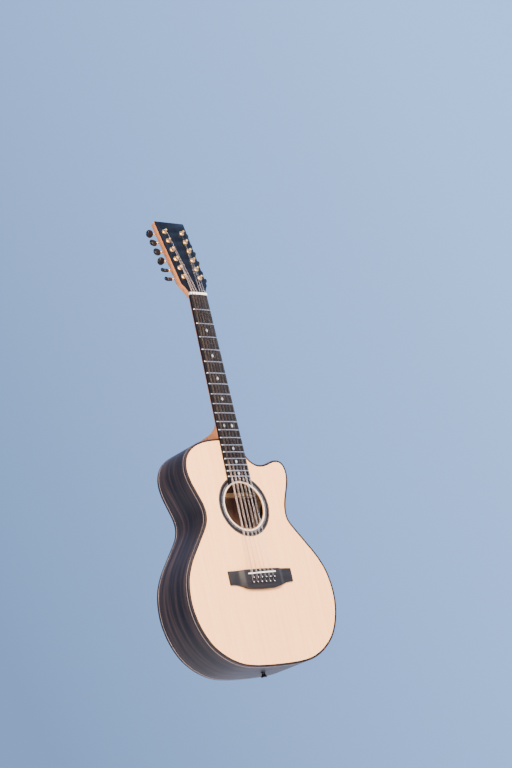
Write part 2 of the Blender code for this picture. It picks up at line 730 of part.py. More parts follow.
def make_tuners():
    post_mesh = make_post_mesh()
    for side, sign, angles in sides():
        button_mesh = make_button_mesh(sign)
        for row, s in enumerate(POST_HEIGHTS):
            label = f"{side}_{row + 1}"
            x = sign * post_x(row)
            add_part(f"tuner_post_{label}", post_mesh.copy(), "gold", HEAD, (x, 0, s))
            button = add_part(f"tuner_button_{label}", button_mesh.copy(), "ebony", HEAD,
                              (x, WORM_DEPTH, s + WORM_OFFSET))
            button.rotation_euler.x = math.radians(angles[row])


def make_tuner_plates():
    """On each side a strip with six gear boxes, open towards the head, with a hole for each shaft."""
    back = HEAD_THICK + GAP
    for side, sign, _ in sides():
        middle = sign * (post_x(0) + post_x(5)) / 2
        strip = boxes("strip", [((middle - 8 * MM, back, 33.5 * MM),
                                 (middle + 8 * MM, back + 1.2 * MM, 197 * MM))])
        strip = add_part(f"tuner_plate_{side}", strip, "gold", HEAD)
        cases, pockets, shafts = [], [], []
        for row, s in enumerate(POST_HEIGHTS):
            x = sign * post_x(row)
            cases.append(((x - 6.5 * MM, back + 0.5 * MM, s - 6.4 * MM),
                          (x + 6.5 * MM, back + 9.0 * MM, s + 9.6 * MM)))
            pockets.append(((x - 5.3 * MM, back - 0.01, s - 5.3 * MM),
                            (x + 5.3 * MM, back + 7.8 * MM, s + 8.4 * MM)))
            shafts.append(((x, WORM_DEPTH, s + WORM_OFFSET),
                           (x + sign * 10 * MM, WORM_DEPTH, s + WORM_OFFSET),
                           WORM_RADIUS + 0.4 * MM))
        case = add_cutter(f"cases_{side}", boxes("cases", cases), HEAD)
        bevel(case, 1.2 * MM)
        boolean(strip, case, "UNION")
        boolean(strip, add_cutter(f"pockets_{side}", boxes("pockets", pockets), HEAD))
        boolean(strip, add_cutter(f"shafts_{side}", cylinders("shafts", shafts), HEAD))


# --- strings -------------------------------------------------------------------------------------------------
def nut_string_y(index):
    x = course_x(index, NUT_COURSE, NUT_PAIR)
    return TOP_Y - 8.05 * MM - STRING_RADII[index] + crown(x)


def head_point(x, height, s):
    """A point above the head's face, as world coordinates."""
    return HEAD.matrix_world @ Vector((x, -height, s))


def string_route(index):
    radius = STRING_RADII[index]
    bass = index < COURSES
    row = index if bass else 2 * COURSES - 1 - index
    sign = -1 if bass else 1
    pin_x, pin_z = pin_place(index)
    x = course_x(index, SADDLE_COURSE, SADDLE_PAIR)
    top = TOP_Y - SADDLE_TOP - 1.2 * GAP - radius + crown(x)
    at_saddle = saddle_z(x)
    nut_x = course_x(index, NUT_COURSE, NUT_PAIR)
    nut_y = nut_string_y(index)
    route = [(pin_x, TOP_Y - 4.5 * MM, pin_z), (pin_x, TOP_Y - 9.2 * MM, pin_z + 0.4 * MM),
             (pin_x, TOP_Y - 10.2 * MM, pin_z + 1.2 * MM), (x, top + 0.1 * MM, at_saddle - 1.6 * MM),
             (x, top, at_saddle + 1.6 * MM),
             (nut_x, nut_y, NUT_Z), (nut_x, nut_y, NUT_BACK_Z)]
    end_x = post_x(row) - POST_RADIUS - radius - GAP
    if row:
        before = STRING_RADII[index - 1 if bass else index + 1]
        share = POST_HEIGHTS[row - 1] / POST_HEIGHTS[row]
        straight = abs(nut_x) + (end_x - abs(nut_x)) * share
        clear = post_x(row - 1) - POST_RADIUS - 2 * before - 2 * GAP - radius
        route.append(head_point(sign * min(straight, clear),
                                STRING_HEIGHT * (0.75 + 0.25 * share), POST_HEIGHTS[row - 1]))
    route.append(head_point(sign * end_x, STRING_HEIGHT, POST_HEIGHTS[row]))
    return route


def make_strings():
    for index in range(2 * COURSES):
        name = f"string_{index + 1:02d}"
        curve = bpy.data.curves.new(name, "CURVE")
        curve.dimensions = "3D"
        curve.bevel_depth = STRING_RADII[index]
        curve.bevel_resolution = 2
        curve.use_fill_caps = True
        route = string_route(index)
        spline = curve.splines.new("POLY")
        spline.points.add(len(route) - 1)
        for point, place in zip(spline.points, route):
            point.co = (*place, 1)
        add_part(name, curve, "bronze")


# --- the whole guitar ----------------------------------------------------------------------------------------
clear_scene()
PARTS = new_collection("twelve_string_guitar")
CUTTERS = new_collection("cutters")
HEAD = add_object("head_frame", None, CUTTERS, location=(0, TOP_Y - BOARD_THICK, NUT_Z))
HEAD.rotation_euler.x = -HEAD_ANGLE
bpy.context.view_layer.update()

OUTLINE = body_outline()
tenon_room = add_cutter("tenon_room", boxes("tenon_room", [(
    (-9.3 * MM, TOP_Y + 6.6 * MM, 494.7 * MM), (9.3 * MM, TOP_Y + 80.3 * MM, 515 * MM))]))
tenon = boxes("tenon", [((-9 * MM, TOP_Y + 6.9 * MM, 495 * MM),
                         (9 * MM, TOP_Y + 80 * MM, 520 * MM))])
pin_room = add_cutter("pin_room", cylinders("pin_room", [((0, 0, -0.01), (0, 0, 0.04), 4.3 * MM)],
                                            sides=14))
holes_for_posts = post_hole_cutter()

make_soundboard(OUTLINE)
make_back(OUTLINE)
make_ribs(OUTLINE, tenon_room, pin_room)
make_bindings(OUTLINE)
make_linings(OUTLINE)
make_blocks(tenon_room, pin_room)
make_top_braces()
make_back_braces()
make_bridge_plate()
make_bridge()
make_saddle()
make_nut()
make_neck(tenon, holes_for_posts)
make_heel_cap()
make_truss_rod()
make_fingerboard()
make_head_veneer(holes_for_posts)
make_tuner_plates()
make_tuners()
make_strings()
make_end_pin()
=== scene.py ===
import json
from math import ceil, copysign, cos, degrees, pi, radians, sin, sqrt, tan

import bmesh
import bpy
from mathutils import Matrix, Vector


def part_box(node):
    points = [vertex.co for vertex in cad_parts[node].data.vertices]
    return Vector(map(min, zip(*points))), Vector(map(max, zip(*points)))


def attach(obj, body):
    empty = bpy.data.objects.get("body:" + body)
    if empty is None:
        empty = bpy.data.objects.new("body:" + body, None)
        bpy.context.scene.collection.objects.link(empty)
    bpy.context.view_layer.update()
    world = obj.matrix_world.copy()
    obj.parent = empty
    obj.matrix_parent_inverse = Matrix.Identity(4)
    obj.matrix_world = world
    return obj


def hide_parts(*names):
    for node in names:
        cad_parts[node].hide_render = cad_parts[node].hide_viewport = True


# The looks of a twelve-string flat-top guitar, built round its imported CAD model.
# X runs to the treble side, Y from front to back, Z up along the neck. Lengths are in metres.

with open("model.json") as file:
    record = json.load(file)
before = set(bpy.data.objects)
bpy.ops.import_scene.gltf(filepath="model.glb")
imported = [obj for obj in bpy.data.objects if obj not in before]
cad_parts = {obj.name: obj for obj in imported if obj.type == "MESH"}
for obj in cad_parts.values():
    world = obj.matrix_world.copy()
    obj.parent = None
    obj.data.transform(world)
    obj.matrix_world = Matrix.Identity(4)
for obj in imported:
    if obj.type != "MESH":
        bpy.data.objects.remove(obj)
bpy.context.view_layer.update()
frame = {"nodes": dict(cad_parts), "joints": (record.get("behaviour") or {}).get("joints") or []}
NODES = frame["nodes"]
JOINTS = {joint["name"]: joint for joint in frame["joints"]}

MM = 0.001

# --- places read from the frame ---
TOP_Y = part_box("soundboard")[0].y
NUT_LOW, NUT_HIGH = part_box("nut")
NUT_Z = NUT_LOW.z - 0.3 * MM
NUT_BACK_Z = NUT_HIGH.z
SADDLE_Z = (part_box("saddle")[0].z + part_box("saddle")[1].z) / 2
JOINT_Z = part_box("heel_cap")[0].z
HEEL_CAP_FRONT, HEEL_CAP_Y = (corner.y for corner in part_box("heel_cap"))

# --- driving sizes ---
SCALE_LENGTH = 648 * MM
FRETS = 19
FRET_HALF = 1.15 * MM  # half the width of a fret wire
FRET_HIGH = 1.05 * MM
FRET_SUNK = 0.15 * MM  # depth of its foot in the board
FRET_SLOPE = 1.4 * MM  # length of its sloped end
EDGE_ANGLE = radians(40)  # sharper edges than this get a bevel
TOP_THICK = 2.8 * MM
BACK_THICK = 2.6 * MM
RIB_THICK = 2.2 * MM
DEPTH_CENTRE = 117.8 * MM  # body depth at the middle of the lower bout
DOME_Z = 200 * MM  # height of the back's dome centre
DOME_RADIUS = 4.5
BACK_TAPER = 0.0229  # the body gets shallower towards the neck
BINDING_WIDE = 2.0 * MM
BINDING_HIGH = 6.0 * MM
BINDING_ROUND = 0.5 * MM  # radius of the binding's outer corner
PURFLING_HIGH = 1.0 * MM
PURFLING_DEEP = 1.6 * MM
EDGE_LINE_WIDE = 2.6 * MM  # dark line on the soundboard, inside the binding
INLAY_DEPTH = 0.8 * MM  # rosette rings and edge line in the soundboard
LINING_WIDE = 9 * MM  # the back's inner face is bare inside the linings
BACK_CENTRE_Z = 230 * MM  # where the grid of the back's faces meets
STRING_TOP = 1.1  # a height above every string, in metres
# HEAD_SHADE is painted shade on the strings along the head.
HEAD_SHADE = (0.75, 0.75, 0.75)  # brightness of the strings along the head
HOLE_Z = 355 * MM
HOLE_RADIUS = 53.5 * MM
BOARD_THICK = 6.5 * MM  # fingerboard
CROWN_RADIUS = 0.400  # across the fingerboard, nut and saddle
NUT_HALF = 24 * MM
BOARD_FLARE = 0.01775  # growth of the half width per metre from the nut
BOARD_END_RADIUS = 57.5 * MM
NECK_DEPTH_NUT = 14.5 * MM
NECK_DEPTH_HEEL = 17.0 * MM
HEEL_TIP_DEPTH = 112 * MM
HEEL_TOP_Z = 551 * MM
HEEL_CAP_Z = 529 * MM
NECK_ROUND = 1.4  # 1 is a half ellipse, more is slimmer near the board
HEAD_ANGLE = radians(13)
HEAD_THICK = 14.5 * MM
VENEER_THICK = 1.5 * MM
POST_RADIUS = 2.75 * MM
WORM_DEPTH = 20.0 * MM  # worm axis behind the face of the head
WORM_OFFSET = 6.5 * MM  # worm axis above the post's axis, along the head
WORM_RADIUS = 1.5 * MM
GEAR_TEETH = 14
GEAR_RADIUS = 4.7 * MM
BUTTON_ANGLES = {"bass": (-32, -32, 50, 5, -3, 36), "treble": (85, -10, 80, 75, -15, 36)}
SADDLE_TOP = 11.1 * MM
SADDLE_SLANT = radians(1.5)
NUT_TOP = 8.5 * MM
BRIDGE_TOP = 9.0 * MM
PIN_ROWS_Z = (182 * MM, 192 * MM)
PIN_SHIFT = 1.6 * MM
PIN_SPACING = 11.7 * MM
COURSES = 6
NUT_COURSE = 7.6 * MM
NUT_PAIR = 1.0 * MM  # half the distance within a pair
SADDLE_COURSE = 11.8 * MM
SADDLE_PAIR = 1.4 * MM
STRING_RADII = [d / 2 * MM for d in (0.76, 1.35, 0.51, 1.07, 0.36, 0.81,
                                     0.23, 0.61, 0.41, 0.41, 0.30, 0.30)]
WOUND_RADIUS = 0.24 * MM  # strings thicker than this are wound
STRING_HEIGHT = 4.5 * MM  # where a string meets its post, above the head's face
WINDING_HIGH = 2.6 * MM

# The outline in millimetres from the tail on the centre line.
LOWER_BOUT = [(0, 0), (48, 1), (86, 5.2), (115, 14), (143.5, 30), (169, 53), (188.5, 85),
              (200.3, 122.5), (202.76, 160), (196, 200), (179, 236), (154, 270.5), (131, 301),
              (118.5, 321)]
HORN = [(117.3, 340), (121.3, 359), (130.7, 382), (140, 404), (144.8, 425), (143.8, 441),
        (138.5, 452), (130, 457.9), (119, 459.7), (105, 457.5), (88, 451.5), (72, 449),
        (58, 451.5), (46, 459), (37.5, 469), (32.5, 482), (30.5, 497), (29.5, 510.8)]
SHOULDER = [(29.5, 510.8), (0, 510.8), (-25, 510.6), (-50, 509.2), (-75, 505.5),
            (-98, 498.5), (-118, 486.5), (-132, 471), (-139.5, 453), (-141, 433),
            (-136, 409), (-126, 384), (-117, 361), (-113.8, 341)]
HEAD_SIDE = [(24, 0), (24.6, 6), (27, 13.5), (31, 21), (36.5, 28.5)]
HEAD_TOP = [(42, 206), (41, 207)]
BRIDGE_REAR = [(88, 180), (74, 179.6), (60, 176), (46, 171.3), (30, 168.4), (0, 167.5)]
BRIDGE_FRONT = [(0, 211.5), (88, 210)]
BRIDGE_SECTION = [(88, 3.6), (64, 3.9), (59, 4.8), (54.5, 6.6), (51, 8.2), (48, 9.0)]
OUTLINE_FACET = 2.0  # degrees of outline that one straight piece may turn

# The rosette's rings: inner radius and outer radius in millimetres, finish, material slot.
ROSETTE = (("rosette_inner_ring", 53.5, 56.8, "cream", "bone"),
           ("rosette_pearl", 56.8, 61.6, "grey_pearl", "bone"),
           ("rosette_dark_ring", 61.6, 66.6, "dark_ring", "rosewood"),
           ("rosette_grey_line", 66.6, 67.5, "grey_pearl", "bone"),
           ("rosette_outer_ring", 67.5, 69.3, "dark_ring", "rosewood"))
# Down the back's centre joint: half width, height above the back, finish.
BACK_STRIPS = (("back_strip", 5.0 * MM, 0.03 * MM, "binding"),
               ("back_strip_line", 0.9 * MM, 0.06 * MM, "line"))
INLAY_FRETS = (3, 5, 7, 9, 12, 15, 17, 19)
DOUBLE_INLAY = 12

SIDES = (("bass", -1), ("treble", 1))
# The head's own frame: X across it, Y behind its face, Z along it from the nut line.
HEAD = Matrix.Translation((0, TOP_Y - BOARD_THICK, NUT_Z)) @ Matrix.Rotation(-HEAD_ANGLE, 4, "X")
SADDLE_TURN = Matrix.Translation((0, 0, SADDLE_Z)) @ Matrix.Rotation(-SADDLE_SLANT, 4, "Y")
UPRIGHT = Matrix.Rotation(pi / 2, 4, "X")  # Y turns to Z, and Z to the front, -Y

# CAD pieces that are kept as they are, under the finish they get.
INNER_NODES = {"inner": ("top_lining", "back_lining", "neck_block", "tail_block", "bridge_plate"),
               "brace": ("top_braces", "back_braces"), "rod": ("truss_rod",)}

# The studio. Each light: name, place, width, power, colour.
CAMERA_LENS = 81.16
CAMERA_PLACE = (-2.4367, -2.8151, -0.4981)
CAMERA_AIM = (0.1703, 0.0, 0.6672)
CAMERA_ROLL = radians(-13.09)
LIT_POINT = (0, 0, 0.45)
LIGHTS = (("key", (-0.4, -4.2, 2.2), 2.2, 900, (1.0, 0.80, 0.62)),
          ("left_fill", (-3.6, -2.4, 0.8), 2.4, 90, (1.0, 0.84, 0.70)),
          ("right_fill", (4.2, 0.2, 1.6), 2.6, 60, (1.0, 0.93, 0.86)),
          ("back_light", (0.8, 4.2, 0.5), 2.6, 90, (1.0, 0.93, 0.86)))
SKY_COLOUR = (0.31, 0.52, 0.98, 1)
SKY_ALONG = (0.655, -0.711, 0.245)
SKY_RISE = {"From Min": -0.2, "From Max": 0.2, "To Min": 0.80, "To Max": 1.72}
FLOOR_Z = -0.80


# --- materials ---
class Finish:
    """One procedural material, built node by node."""

    def __init__(self, name, **values):
        self.material = bpy.data.materials.new(name)
        self.material.use_nodes = True
        self.tree = self.material.node_tree
        self.shader = self.tree.nodes["Principled BSDF"]
        self.set(self.shader, {key.replace("_", " "): value for key, value in values.items()})

    def set(self, made, values):
        for socket, value in dict(values).items():
            if isinstance(value, bpy.types.NodeSocket):
                self.tree.links.new(value, made.inputs[socket])
            else:
                made.inputs[socket].default_value = value

    def add(self, kind, values=(), **settings):
        made = self.tree.nodes.new("ShaderNode" + kind)
        for key, value in settings.items():
            setattr(made, key, value)
        self.set(made, values)
        return made

    def place(self, stretch=(1, 1, 1), mirror=False):
        """Object coordinates, scaled along each axis; mirror matches left and right."""
        vector = self.add("TexCoord").outputs["Object"]
        if mirror:
            vector = self.add("VectorMath", {0: vector}, operation="ABSOLUTE").outputs[0]
        return self.add("Mapping", {"Vector": vector, "Scale": stretch}).outputs[0]

    def noise(self, vector, scale, detail=3.0, distortion=0.0):
        return self.add("TexNoise", {"Vector": vector, "Scale": scale, "Detail": detail,
                                     "Distortion": distortion}).outputs[0]

    def ramp(self, factor, stops):
        made = self.add("ValToRGB", {0: factor})
        elements = made.color_ramp.elements
        while len(elements) < len(stops):
            elements.new(0.5)
        for element, (position, colour) in zip(elements, stops):
            element.position = position
            element.color = (*colour, 1)
        return made.outputs[0]

    def mix(self, factor, first, second, blend="MIX"):
        made = self.add("Mix", {0: factor, 6: first, 7: second}, data_type="RGBA", blend_type=blend)
        return made.outputs[2]

    def span(self, factor, low, high, start=0.3, end=0.7):
        return self.add("MapRange", {"Value": factor, "From Min": start, "From Max": end,
                                     "To Min": low, "To Max": high}).outputs[0]

    def surface(self, colour, factor, low, high):
        """Sets the colour, and a roughness between low and high that follows the factor."""
        self.set(self.shader, {"Base Color": colour, "Roughness": self.span(factor, low, high)})

    def bump(self, height, depth, strength=1.0, coat=False):
        made = self.add("Bump", {"Height": height, "Distance": depth, "Strength": strength})
        self.set(self.shader, {"Normal": made.outputs[0]})
        if coat:
            self.set(self.shader, {"Coat Normal": made.outputs[0]})


def wood(name, stops, along, spacing, figure, roughness, pore=0.00006, coat=0.0,
         coat_roughness=0.08, specular=0.5, mirror=False):
    """Wood with streaks about spacing metres wide that run along the named axes."""
    finish = Finish(name, Coat_Weight=coat, Coat_Roughness=coat_roughness,
                    Specular_IOR_Level=specular)
    vector = finish.place([0.035 if axis in along else 1.0 for axis in "XYZ"], mirror)
    streaks = finish.noise(vector, 1 / spacing, 5.0, figure)
    fine = finish.noise(vector, 6 / spacing, 4.0)
    shade = finish.mix(0.30, streaks, fine)
    finish.surface(finish.ramp(shade, stops), fine, roughness - 0.06, roughness + 0.08)
    grain = finish.place([0.08 if axis in along else 1.0 for axis in "XYZ"], mirror)
    pores = finish.noise(grain, 1600.0, 2.0)
    finish.bump(pores, pore)
    return finish.material


def spruce():
    """Pale top wood: close straight growth lines, silky cross figure, a thin satin lacquer."""
    finish = Finish("spruce", Coat_Weight=0.05, Coat_Roughness=0.35, Specular_IOR_Level=0.25)
    straight = finish.place((1, 0.05, 0.012), mirror=True)
    lines = finish.noise(straight, 900.0, 2.0)
    years = finish.noise(straight, 120.0, 3.0)
    silk = finish.noise(finish.place((1, 0.2, 3.0)), 45.0, 4.0, 0.8)
    pale = finish.ramp(lines, [(0.30, (0.92, 0.44, 0.165)), (0.47, (0.99, 0.52, 0.215)),
                               (0.75, (1.00, 0.56, 0.245))])
    warm = finish.ramp(years, [(0.30, (0.98, 0.94, 0.90)), (0.70, (1.0, 1.0, 1.0))])
    toned = finish.mix(1.0, pale, warm, "MULTIPLY")
    sheen = finish.ramp(silk, [(0.35, (0.98, 0.97, 0.96)), (0.65, (1.0, 1.0, 1.0))])
    finish.surface(finish.mix(1.0, toned, sheen, "MULTIPLY"), lines, 0.36, 0.46)
    finish.bump(lines, 0.00003)
    return finish.material


def lacquer(name, dark, light):
    """Deep gloss over black wood, with faint streaks under the lacquer."""
    finish = Finish(name, Coat_Weight=0.14, Coat_Roughness=0.12, Specular_IOR_Level=0.08)
    streaks = finish.noise(finish.place((1, 1, 0.06)), 160.0, 4.0)
    ripple = finish.noise(finish.place(), 70.0, 2.0)
    finish.surface(finish.ramp(streaks, [(0.35, dark), (0.7, light)]), ripple, 0.16, 0.24)
    finish.bump(ripple, 0.00001, 0.3, coat=True)
    return finish.material


def metal(name, dark, light, roughness, scratch=0.00001, wound=0.0, shade_over_board=0.0):
    """Polished metal with cloudy tarnish and hair scratches.

    wound adds turns of wire along Z of that pitch. The last argument is painted shade: how much
    darker the string is painted over the fingerboard; beyond the nut the painted shade is as dark
    as HEAD_SHADE says.
    """
    finish = Finish(name, Metallic=1.0)
    cloud = finish.noise(finish.place(), 220.0, 4.0)
    hair = finish.noise(finish.place((1, 1, 0.1)), 2600.0, 2.0)
    colour = finish.ramp(cloud, [(0.3, dark), (0.7, light)])
    # Painted shade: the strings are darkened from beyond the sound hole over the fingerboard, and
    # less along the head.
    if shade_over_board:
        height = finish.add("SeparateXYZ", {0: finish.place()}).outputs[2]
        unshaded_tone, shaded_tone = (1.0, 1.0, 1.0), (1.0 - shade_over_board,) * 3
        stops = [(HOLE_Z + HOLE_RADIUS, unshaded_tone), (HOLE_Z + 2 * HOLE_RADIUS, shaded_tone),
                 (NUT_Z, shaded_tone), (NUT_Z + 10 * MM, HEAD_SHADE)]
        shade = finish.ramp(finish.span(height, 0.0, 1.0, 0.0, STRING_TOP),
                            [(z / STRING_TOP, tone) for z, tone in stops])
        colour = finish.mix(1.0, colour, shade, "MULTIPLY")
    finish.surface(colour, hair, roughness - 0.05, roughness + 0.09)
    if wound:
        turns = finish.add("TexWave", {"Vector": finish.place(), "Scale": 0.314 / wound},
                           bands_direction="Z").outputs[1]
        finish.bump(turns, 0.3 * wound)
    else:
        finish.bump(hair, scratch)
    return finish.material


def bone(name, dark, light, roughness=0.32):
    """Dense bone: cream mottling, fine pores and a soft polish."""
    finish = Finish(name, Subsurface_Weight=0.12, Subsurface_Scale=0.001)
    mottle = finish.noise(finish.place(), 260.0, 4.0)
    pores = finish.noise(finish.place((0.15, 1, 1)), 2200.0, 2.0)
    finish.surface(finish.ramp(mottle, [(0.3, dark), (0.7, light)]), pores, roughness - 0.06,
                   roughness + 0.06)
    finish.bump(pores, 0.00002)
    return finish.material


def pearl(name, low, high, coat=0.6):
    """Shell in small plates, each with its own tint, with fine growth ripples."""
    finish = Finish(name, Coat_Weight=coat, Coat_Roughness=0.08, Metallic=0.15,
                    Specular_IOR_Level=0.3)
    cells = finish.add("TexVoronoi", {"Vector": finish.place(), "Scale": 240.0}).outputs["Color"]
    tone = finish.add("SeparateColor", {0: cells}).outputs[0]
    tint = finish.ramp(tone, [(0.0, low), (1.0, high)])
    ripple = finish.noise(finish.place(), 900.0, 3.0, 1.5)
    shade = finish.ramp(ripple, [(0.35, (0.80, 0.80, 0.82)), (0.65, (1.0, 1.0, 1.0))])
    finish.surface(finish.mix(1.0, tint, shade, "MULTIPLY"), ripple, 0.18, 0.34)
    finish.bump(ripple, 0.00002)
    return finish.material


def plain_floor():
    finish = Finish("studio_floor", Roughness=0.7)
    cloud = finish.noise(finish.place(), 1.2, 3.0)
    stops = [(0.3, (0.60, 0.64, 0.69)), (0.7, (0.64, 0.68, 0.73))]
    finish.set(finish.shader, {"Base Color": finish.ramp(cloud, stops)})
    return finish.material


ROSEWOOD = [(0.34, (0.010, 0.005, 0.004)), (0.45, (0.028, 0.013, 0.009)),
            (0.54, (0.070, 0.030, 0.018)), (0.66, (0.145, 0.066, 0.038))]
RIBS = [(0.34, (0.006, 0.005, 0.005)), (0.45, (0.016, 0.010, 0.009)),
        (0.54, (0.038, 0.022, 0.017)), (0.66, (0.078, 0.045, 0.034))]
EBONY = [(0.35, (0.004, 0.004, 0.005)), (0.55, (0.009, 0.008, 0.009)),
         (0.72, (0.022, 0.017, 0.015))]
MAHOGANY = [(0.32, (0.54, 0.160, 0.042)), (0.5, (0.76, 0.255, 0.074)), (0.7, (0.86, 0.330, 0.108))]
INSIDE = [(0.34, (0.090, 0.042, 0.026)), (0.50, (0.155, 0.078, 0.048)),
          (0.66, (0.230, 0.125, 0.080))]
INNER = [(0.32, (0.42, 0.25, 0.13)), (0.5, (0.56, 0.36, 0.20)), (0.7, (0.68, 0.47, 0.28))]
BINDING = [(0.3, (0.008, 0.004, 0.003)), (0.5, (0.018, 0.009, 0.006)), (0.7, (0.036, 0.016, 0.011))]
TAN = [(0.3, (0.56, 0.36, 0.23)), (0.5, (0.72, 0.50, 0.34)), (0.7, (0.82, 0.62, 0.46))]
BRACE = [(0.3, (0.70, 0.42, 0.18)), (0.5, (0.82, 0.53, 0.25)), (0.7, (0.88, 0.62, 0.34))]

FINISHES = {
    "spruce": spruce(),
    "ribs": wood("rosewood_ribs", RIBS, "XZ", 0.011, 0.3, 0.46, coat=0.06,
                 coat_roughness=0.35, specular=0.25),
    "back": wood("rosewood_back", ROSEWOOD, "Z", 0.014, 0.5, 0.40, coat=0.06,
                 coat_roughness=0.2, specular=0.2, mirror=True),
    "inside": wood("rosewood_inside", INSIDE, "Z", 0.014, 0.5, 0.60, mirror=True),
    "dark_ring": wood("ebony_ring", EBONY, "Z", 0.006, 0.5, 0.50, specular=0.08),
    "binding": wood("binding_wood", BINDING, "XZ", 0.005, 0.4, 0.40, coat=0.1,
                    coat_roughness=0.3, specular=0.3),
    "line": wood("purfling_line", TAN, "XZ", 0.004, 0.3, 0.5, specular=0.3),
    "neck": wood("mahogany_neck", MAHOGANY, "Z", 0.007, 0.8, 0.50, coat=0.02,
                 coat_roughness=0.3, specular=0.25),
    "inner": wood("inner_mahogany", INNER, "X", 0.008, 0.5, 0.62, pore=0.0001),
    "brace": wood("brace_spruce", BRACE, "X", 0.003, 0.3, 0.60, pore=0.0001),
    "board": wood("ebony_board", EBONY, "Z", 0.005, 0.5, 0.55, specular=0.06),
    "bridge": wood("ebony_bridge", EBONY, "X", 0.006, 0.5, 0.50, specular=0.24),
    "button": wood("ebony_button", EBONY, "X", 0.004, 0.6, 0.24, coat=0.14, coat_roughness=0.08,
                   specular=0.14),
    "veneer": lacquer("head_lacquer", (0.002, 0.003, 0.004), (0.006, 0.006, 0.009)),
    "bone": bone("bone", (0.80, 0.76, 0.66), (0.93, 0.91, 0.85)),
    "cream": bone("cream_ring", (0.72, 0.50, 0.35), (0.86, 0.66, 0.50), 0.42),
    "pearl": pearl("pearl", (0.34, 0.39, 0.42), (0.60, 0.58, 0.56)),
    "grey_pearl": pearl("grey_pearl", (0.040, 0.040, 0.044), (0.135, 0.125, 0.120), 0.1),
    "gold": metal("gold", (0.88, 0.44, 0.11), (1.00, 0.60, 0.18), 0.24),
    "fret": metal("fret_steel", (0.46, 0.46, 0.47), (0.62, 0.62, 0.64), 0.30),
    # Both string finishes carry painted shade over the fingerboard and along the head.
    "wound": metal("bronze_wound", (0.42, 0.31, 0.26), (0.62, 0.48, 0.40), 0.36, wound=0.0003,
                   shade_over_board=0.86),
    "plain": metal("steel_plain", (0.42, 0.42, 0.44), (0.60, 0.60, 0.62), 0.36, shade_over_board=0.86),
    "rod": metal("rod_steel", (0.38, 0.38, 0.39), (0.56, 0.56, 0.58), 0.40, 0.00004),
}


# --- helpers ---
def added(data, name="scratch"):
    obj = bpy.data.objects.new(name, data)
    bpy.context.scene.collection.objects.link(obj)
    return obj


def show(name, mesh, finish, body="guitar", replaces=None, place=None):
    """A finished piece: its material, its body and the CAD node that it stands for."""
    obj = added(mesh, name)
    if place is not None:
        obj.matrix_world = place
    mesh.materials.clear()
    mesh.materials.append(FINISHES[finish])
    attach(obj, body)
    if replaces:
        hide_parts(replaces)


def moved(mesh, *turns):
    """The mesh after each of the matrices in turn."""
    for turn in turns:
        mesh.transform(turn)
    return mesh


def applied(obj):
    """The object's mesh with its modifiers applied, welded. The object itself is removed."""
    graph = bpy.context.evaluated_depsgraph_get()
    mesh = bpy.data.meshes.new_from_object(obj.evaluated_get(graph))
    bm = bmesh.new()
    bm.from_mesh(mesh)
    bmesh.ops.remove_doubles(bm, verts=bm.verts, dist=1e-6)
    bm.to_mesh(mesh)
    bm.free()
    bpy.data.objects.remove(obj, do_unlink=True)
    return mesh


def smooth(mesh, angle=35):
    mesh.shade_smooth()
    mesh.set_sharp_from_angle(angle=radians(angle))
    return mesh


def combined(mesh, *others, operation="DIFFERENCE"):
    """The mesh cut by, joined to or kept only inside the others."""
    obj = added(mesh)
    helpers = [added(other) for other in others]
    for helper in helpers:
        modifier = obj.modifiers.new("combine", "BOOLEAN")
        modifier.object = helper
        modifier.operation = operation
        modifier.solver = "EXACT"
    result = applied(obj)
    for helper in helpers:
        bpy.data.objects.remove(helper, do_unlink=True)
    return result


def bevelled(mesh, width, segments=3):
    """The mesh with its edges sharper than EDGE_ANGLE rounded."""
    obj = added(mesh)
    modifier = obj.modifiers.new("edges", "BEVEL")
    modifier.width = width
    modifier.segments = segments
    modifier.limit_method = "ANGLE"
    modifier.angle_limit = EDGE_ANGLE
    return smooth(applied(obj))


def mesh_from(bm, outward=True):
    if outward:
        bmesh.ops.recalc_face_normals(bm, faces=bm.faces)
    mesh = bpy.data.meshes.new("mesh")
    bm.to_mesh(mesh)
    bm.free()
    return mesh


def joined(meshes):
    """Separate closed bodies in one mesh."""
    bm = bmesh.new()
    for mesh in meshes:
        bm.from_mesh(mesh)
    return smooth(mesh_from(bm, outward=False))


def boxes(extents):
    bm = bmesh.new()
    for low, high in extents:
        low, high = Vector(low), Vector(high)
        matrix = Matrix.Translation((low + high) / 2) @ Matrix.Diagonal((*(high - low), 1))
        bmesh.ops.create_cube(bm, size=1, matrix=matrix)
    return mesh_from(bm)


def cylinders(axes, sides=32):
    bm = bmesh.new()
    for start, end, radius in axes:
        start, end = Vector(start), Vector(end)
        run = end - start
        turn = run.to_track_quat("Z", "Y").to_matrix().to_4x4()
        bmesh.ops.create_cone(bm, cap_ends=True, segments=sides, radius1=radius, radius2=radius,
                              depth=run.length,
                              matrix=Matrix.Translation((start + end) / 2) @ turn)
    return mesh_from(bm)


def plate(outlines, low, high, turn=True):
    """A flat shape with a thickness; outlines inside the first are its holes.

    turn stands the shape up in XZ with the thickness along Y, otherwise it lies in XY.
    """
    curve = bpy.data.curves.new("outline", "CURVE")
    curve.dimensions = "2D"
    curve.fill_mode = "BOTH"
    curve.extrude = (high - low) / 2
    for outline in outlines:
        spline = curve.splines.new("POLY")
        spline.points.add(len(outline) - 1)
        for point, (u, v) in zip(spline.points, outline):
            point.co = (u, v, 0, 1)
        spline.use_cyclic_u = True
    mesh, middle = applied(added(curve)), (low + high) / 2
    if turn:
        return moved(mesh, UPRIGHT, Matrix.Translation((0, middle, 0)))
    return moved(mesh, Matrix.Translation((0, 0, middle)))


def full_turn(steps):
    return [2 * pi * k / steps for k in range(steps)]


def spread(half_width, steps):
    """Even places across a width, steps of them on each side of the middle."""
    return [half_width * k / steps for k in range(-steps, steps + 1)]


def signed_power(value, exponent):
    return copysign(abs(value) ** exponent, value)


def circle(centre, radius, steps=128):
    return [(centre[0] + radius * cos(a), centre[1] + radius * sin(a)) for a in full_turn(steps)]


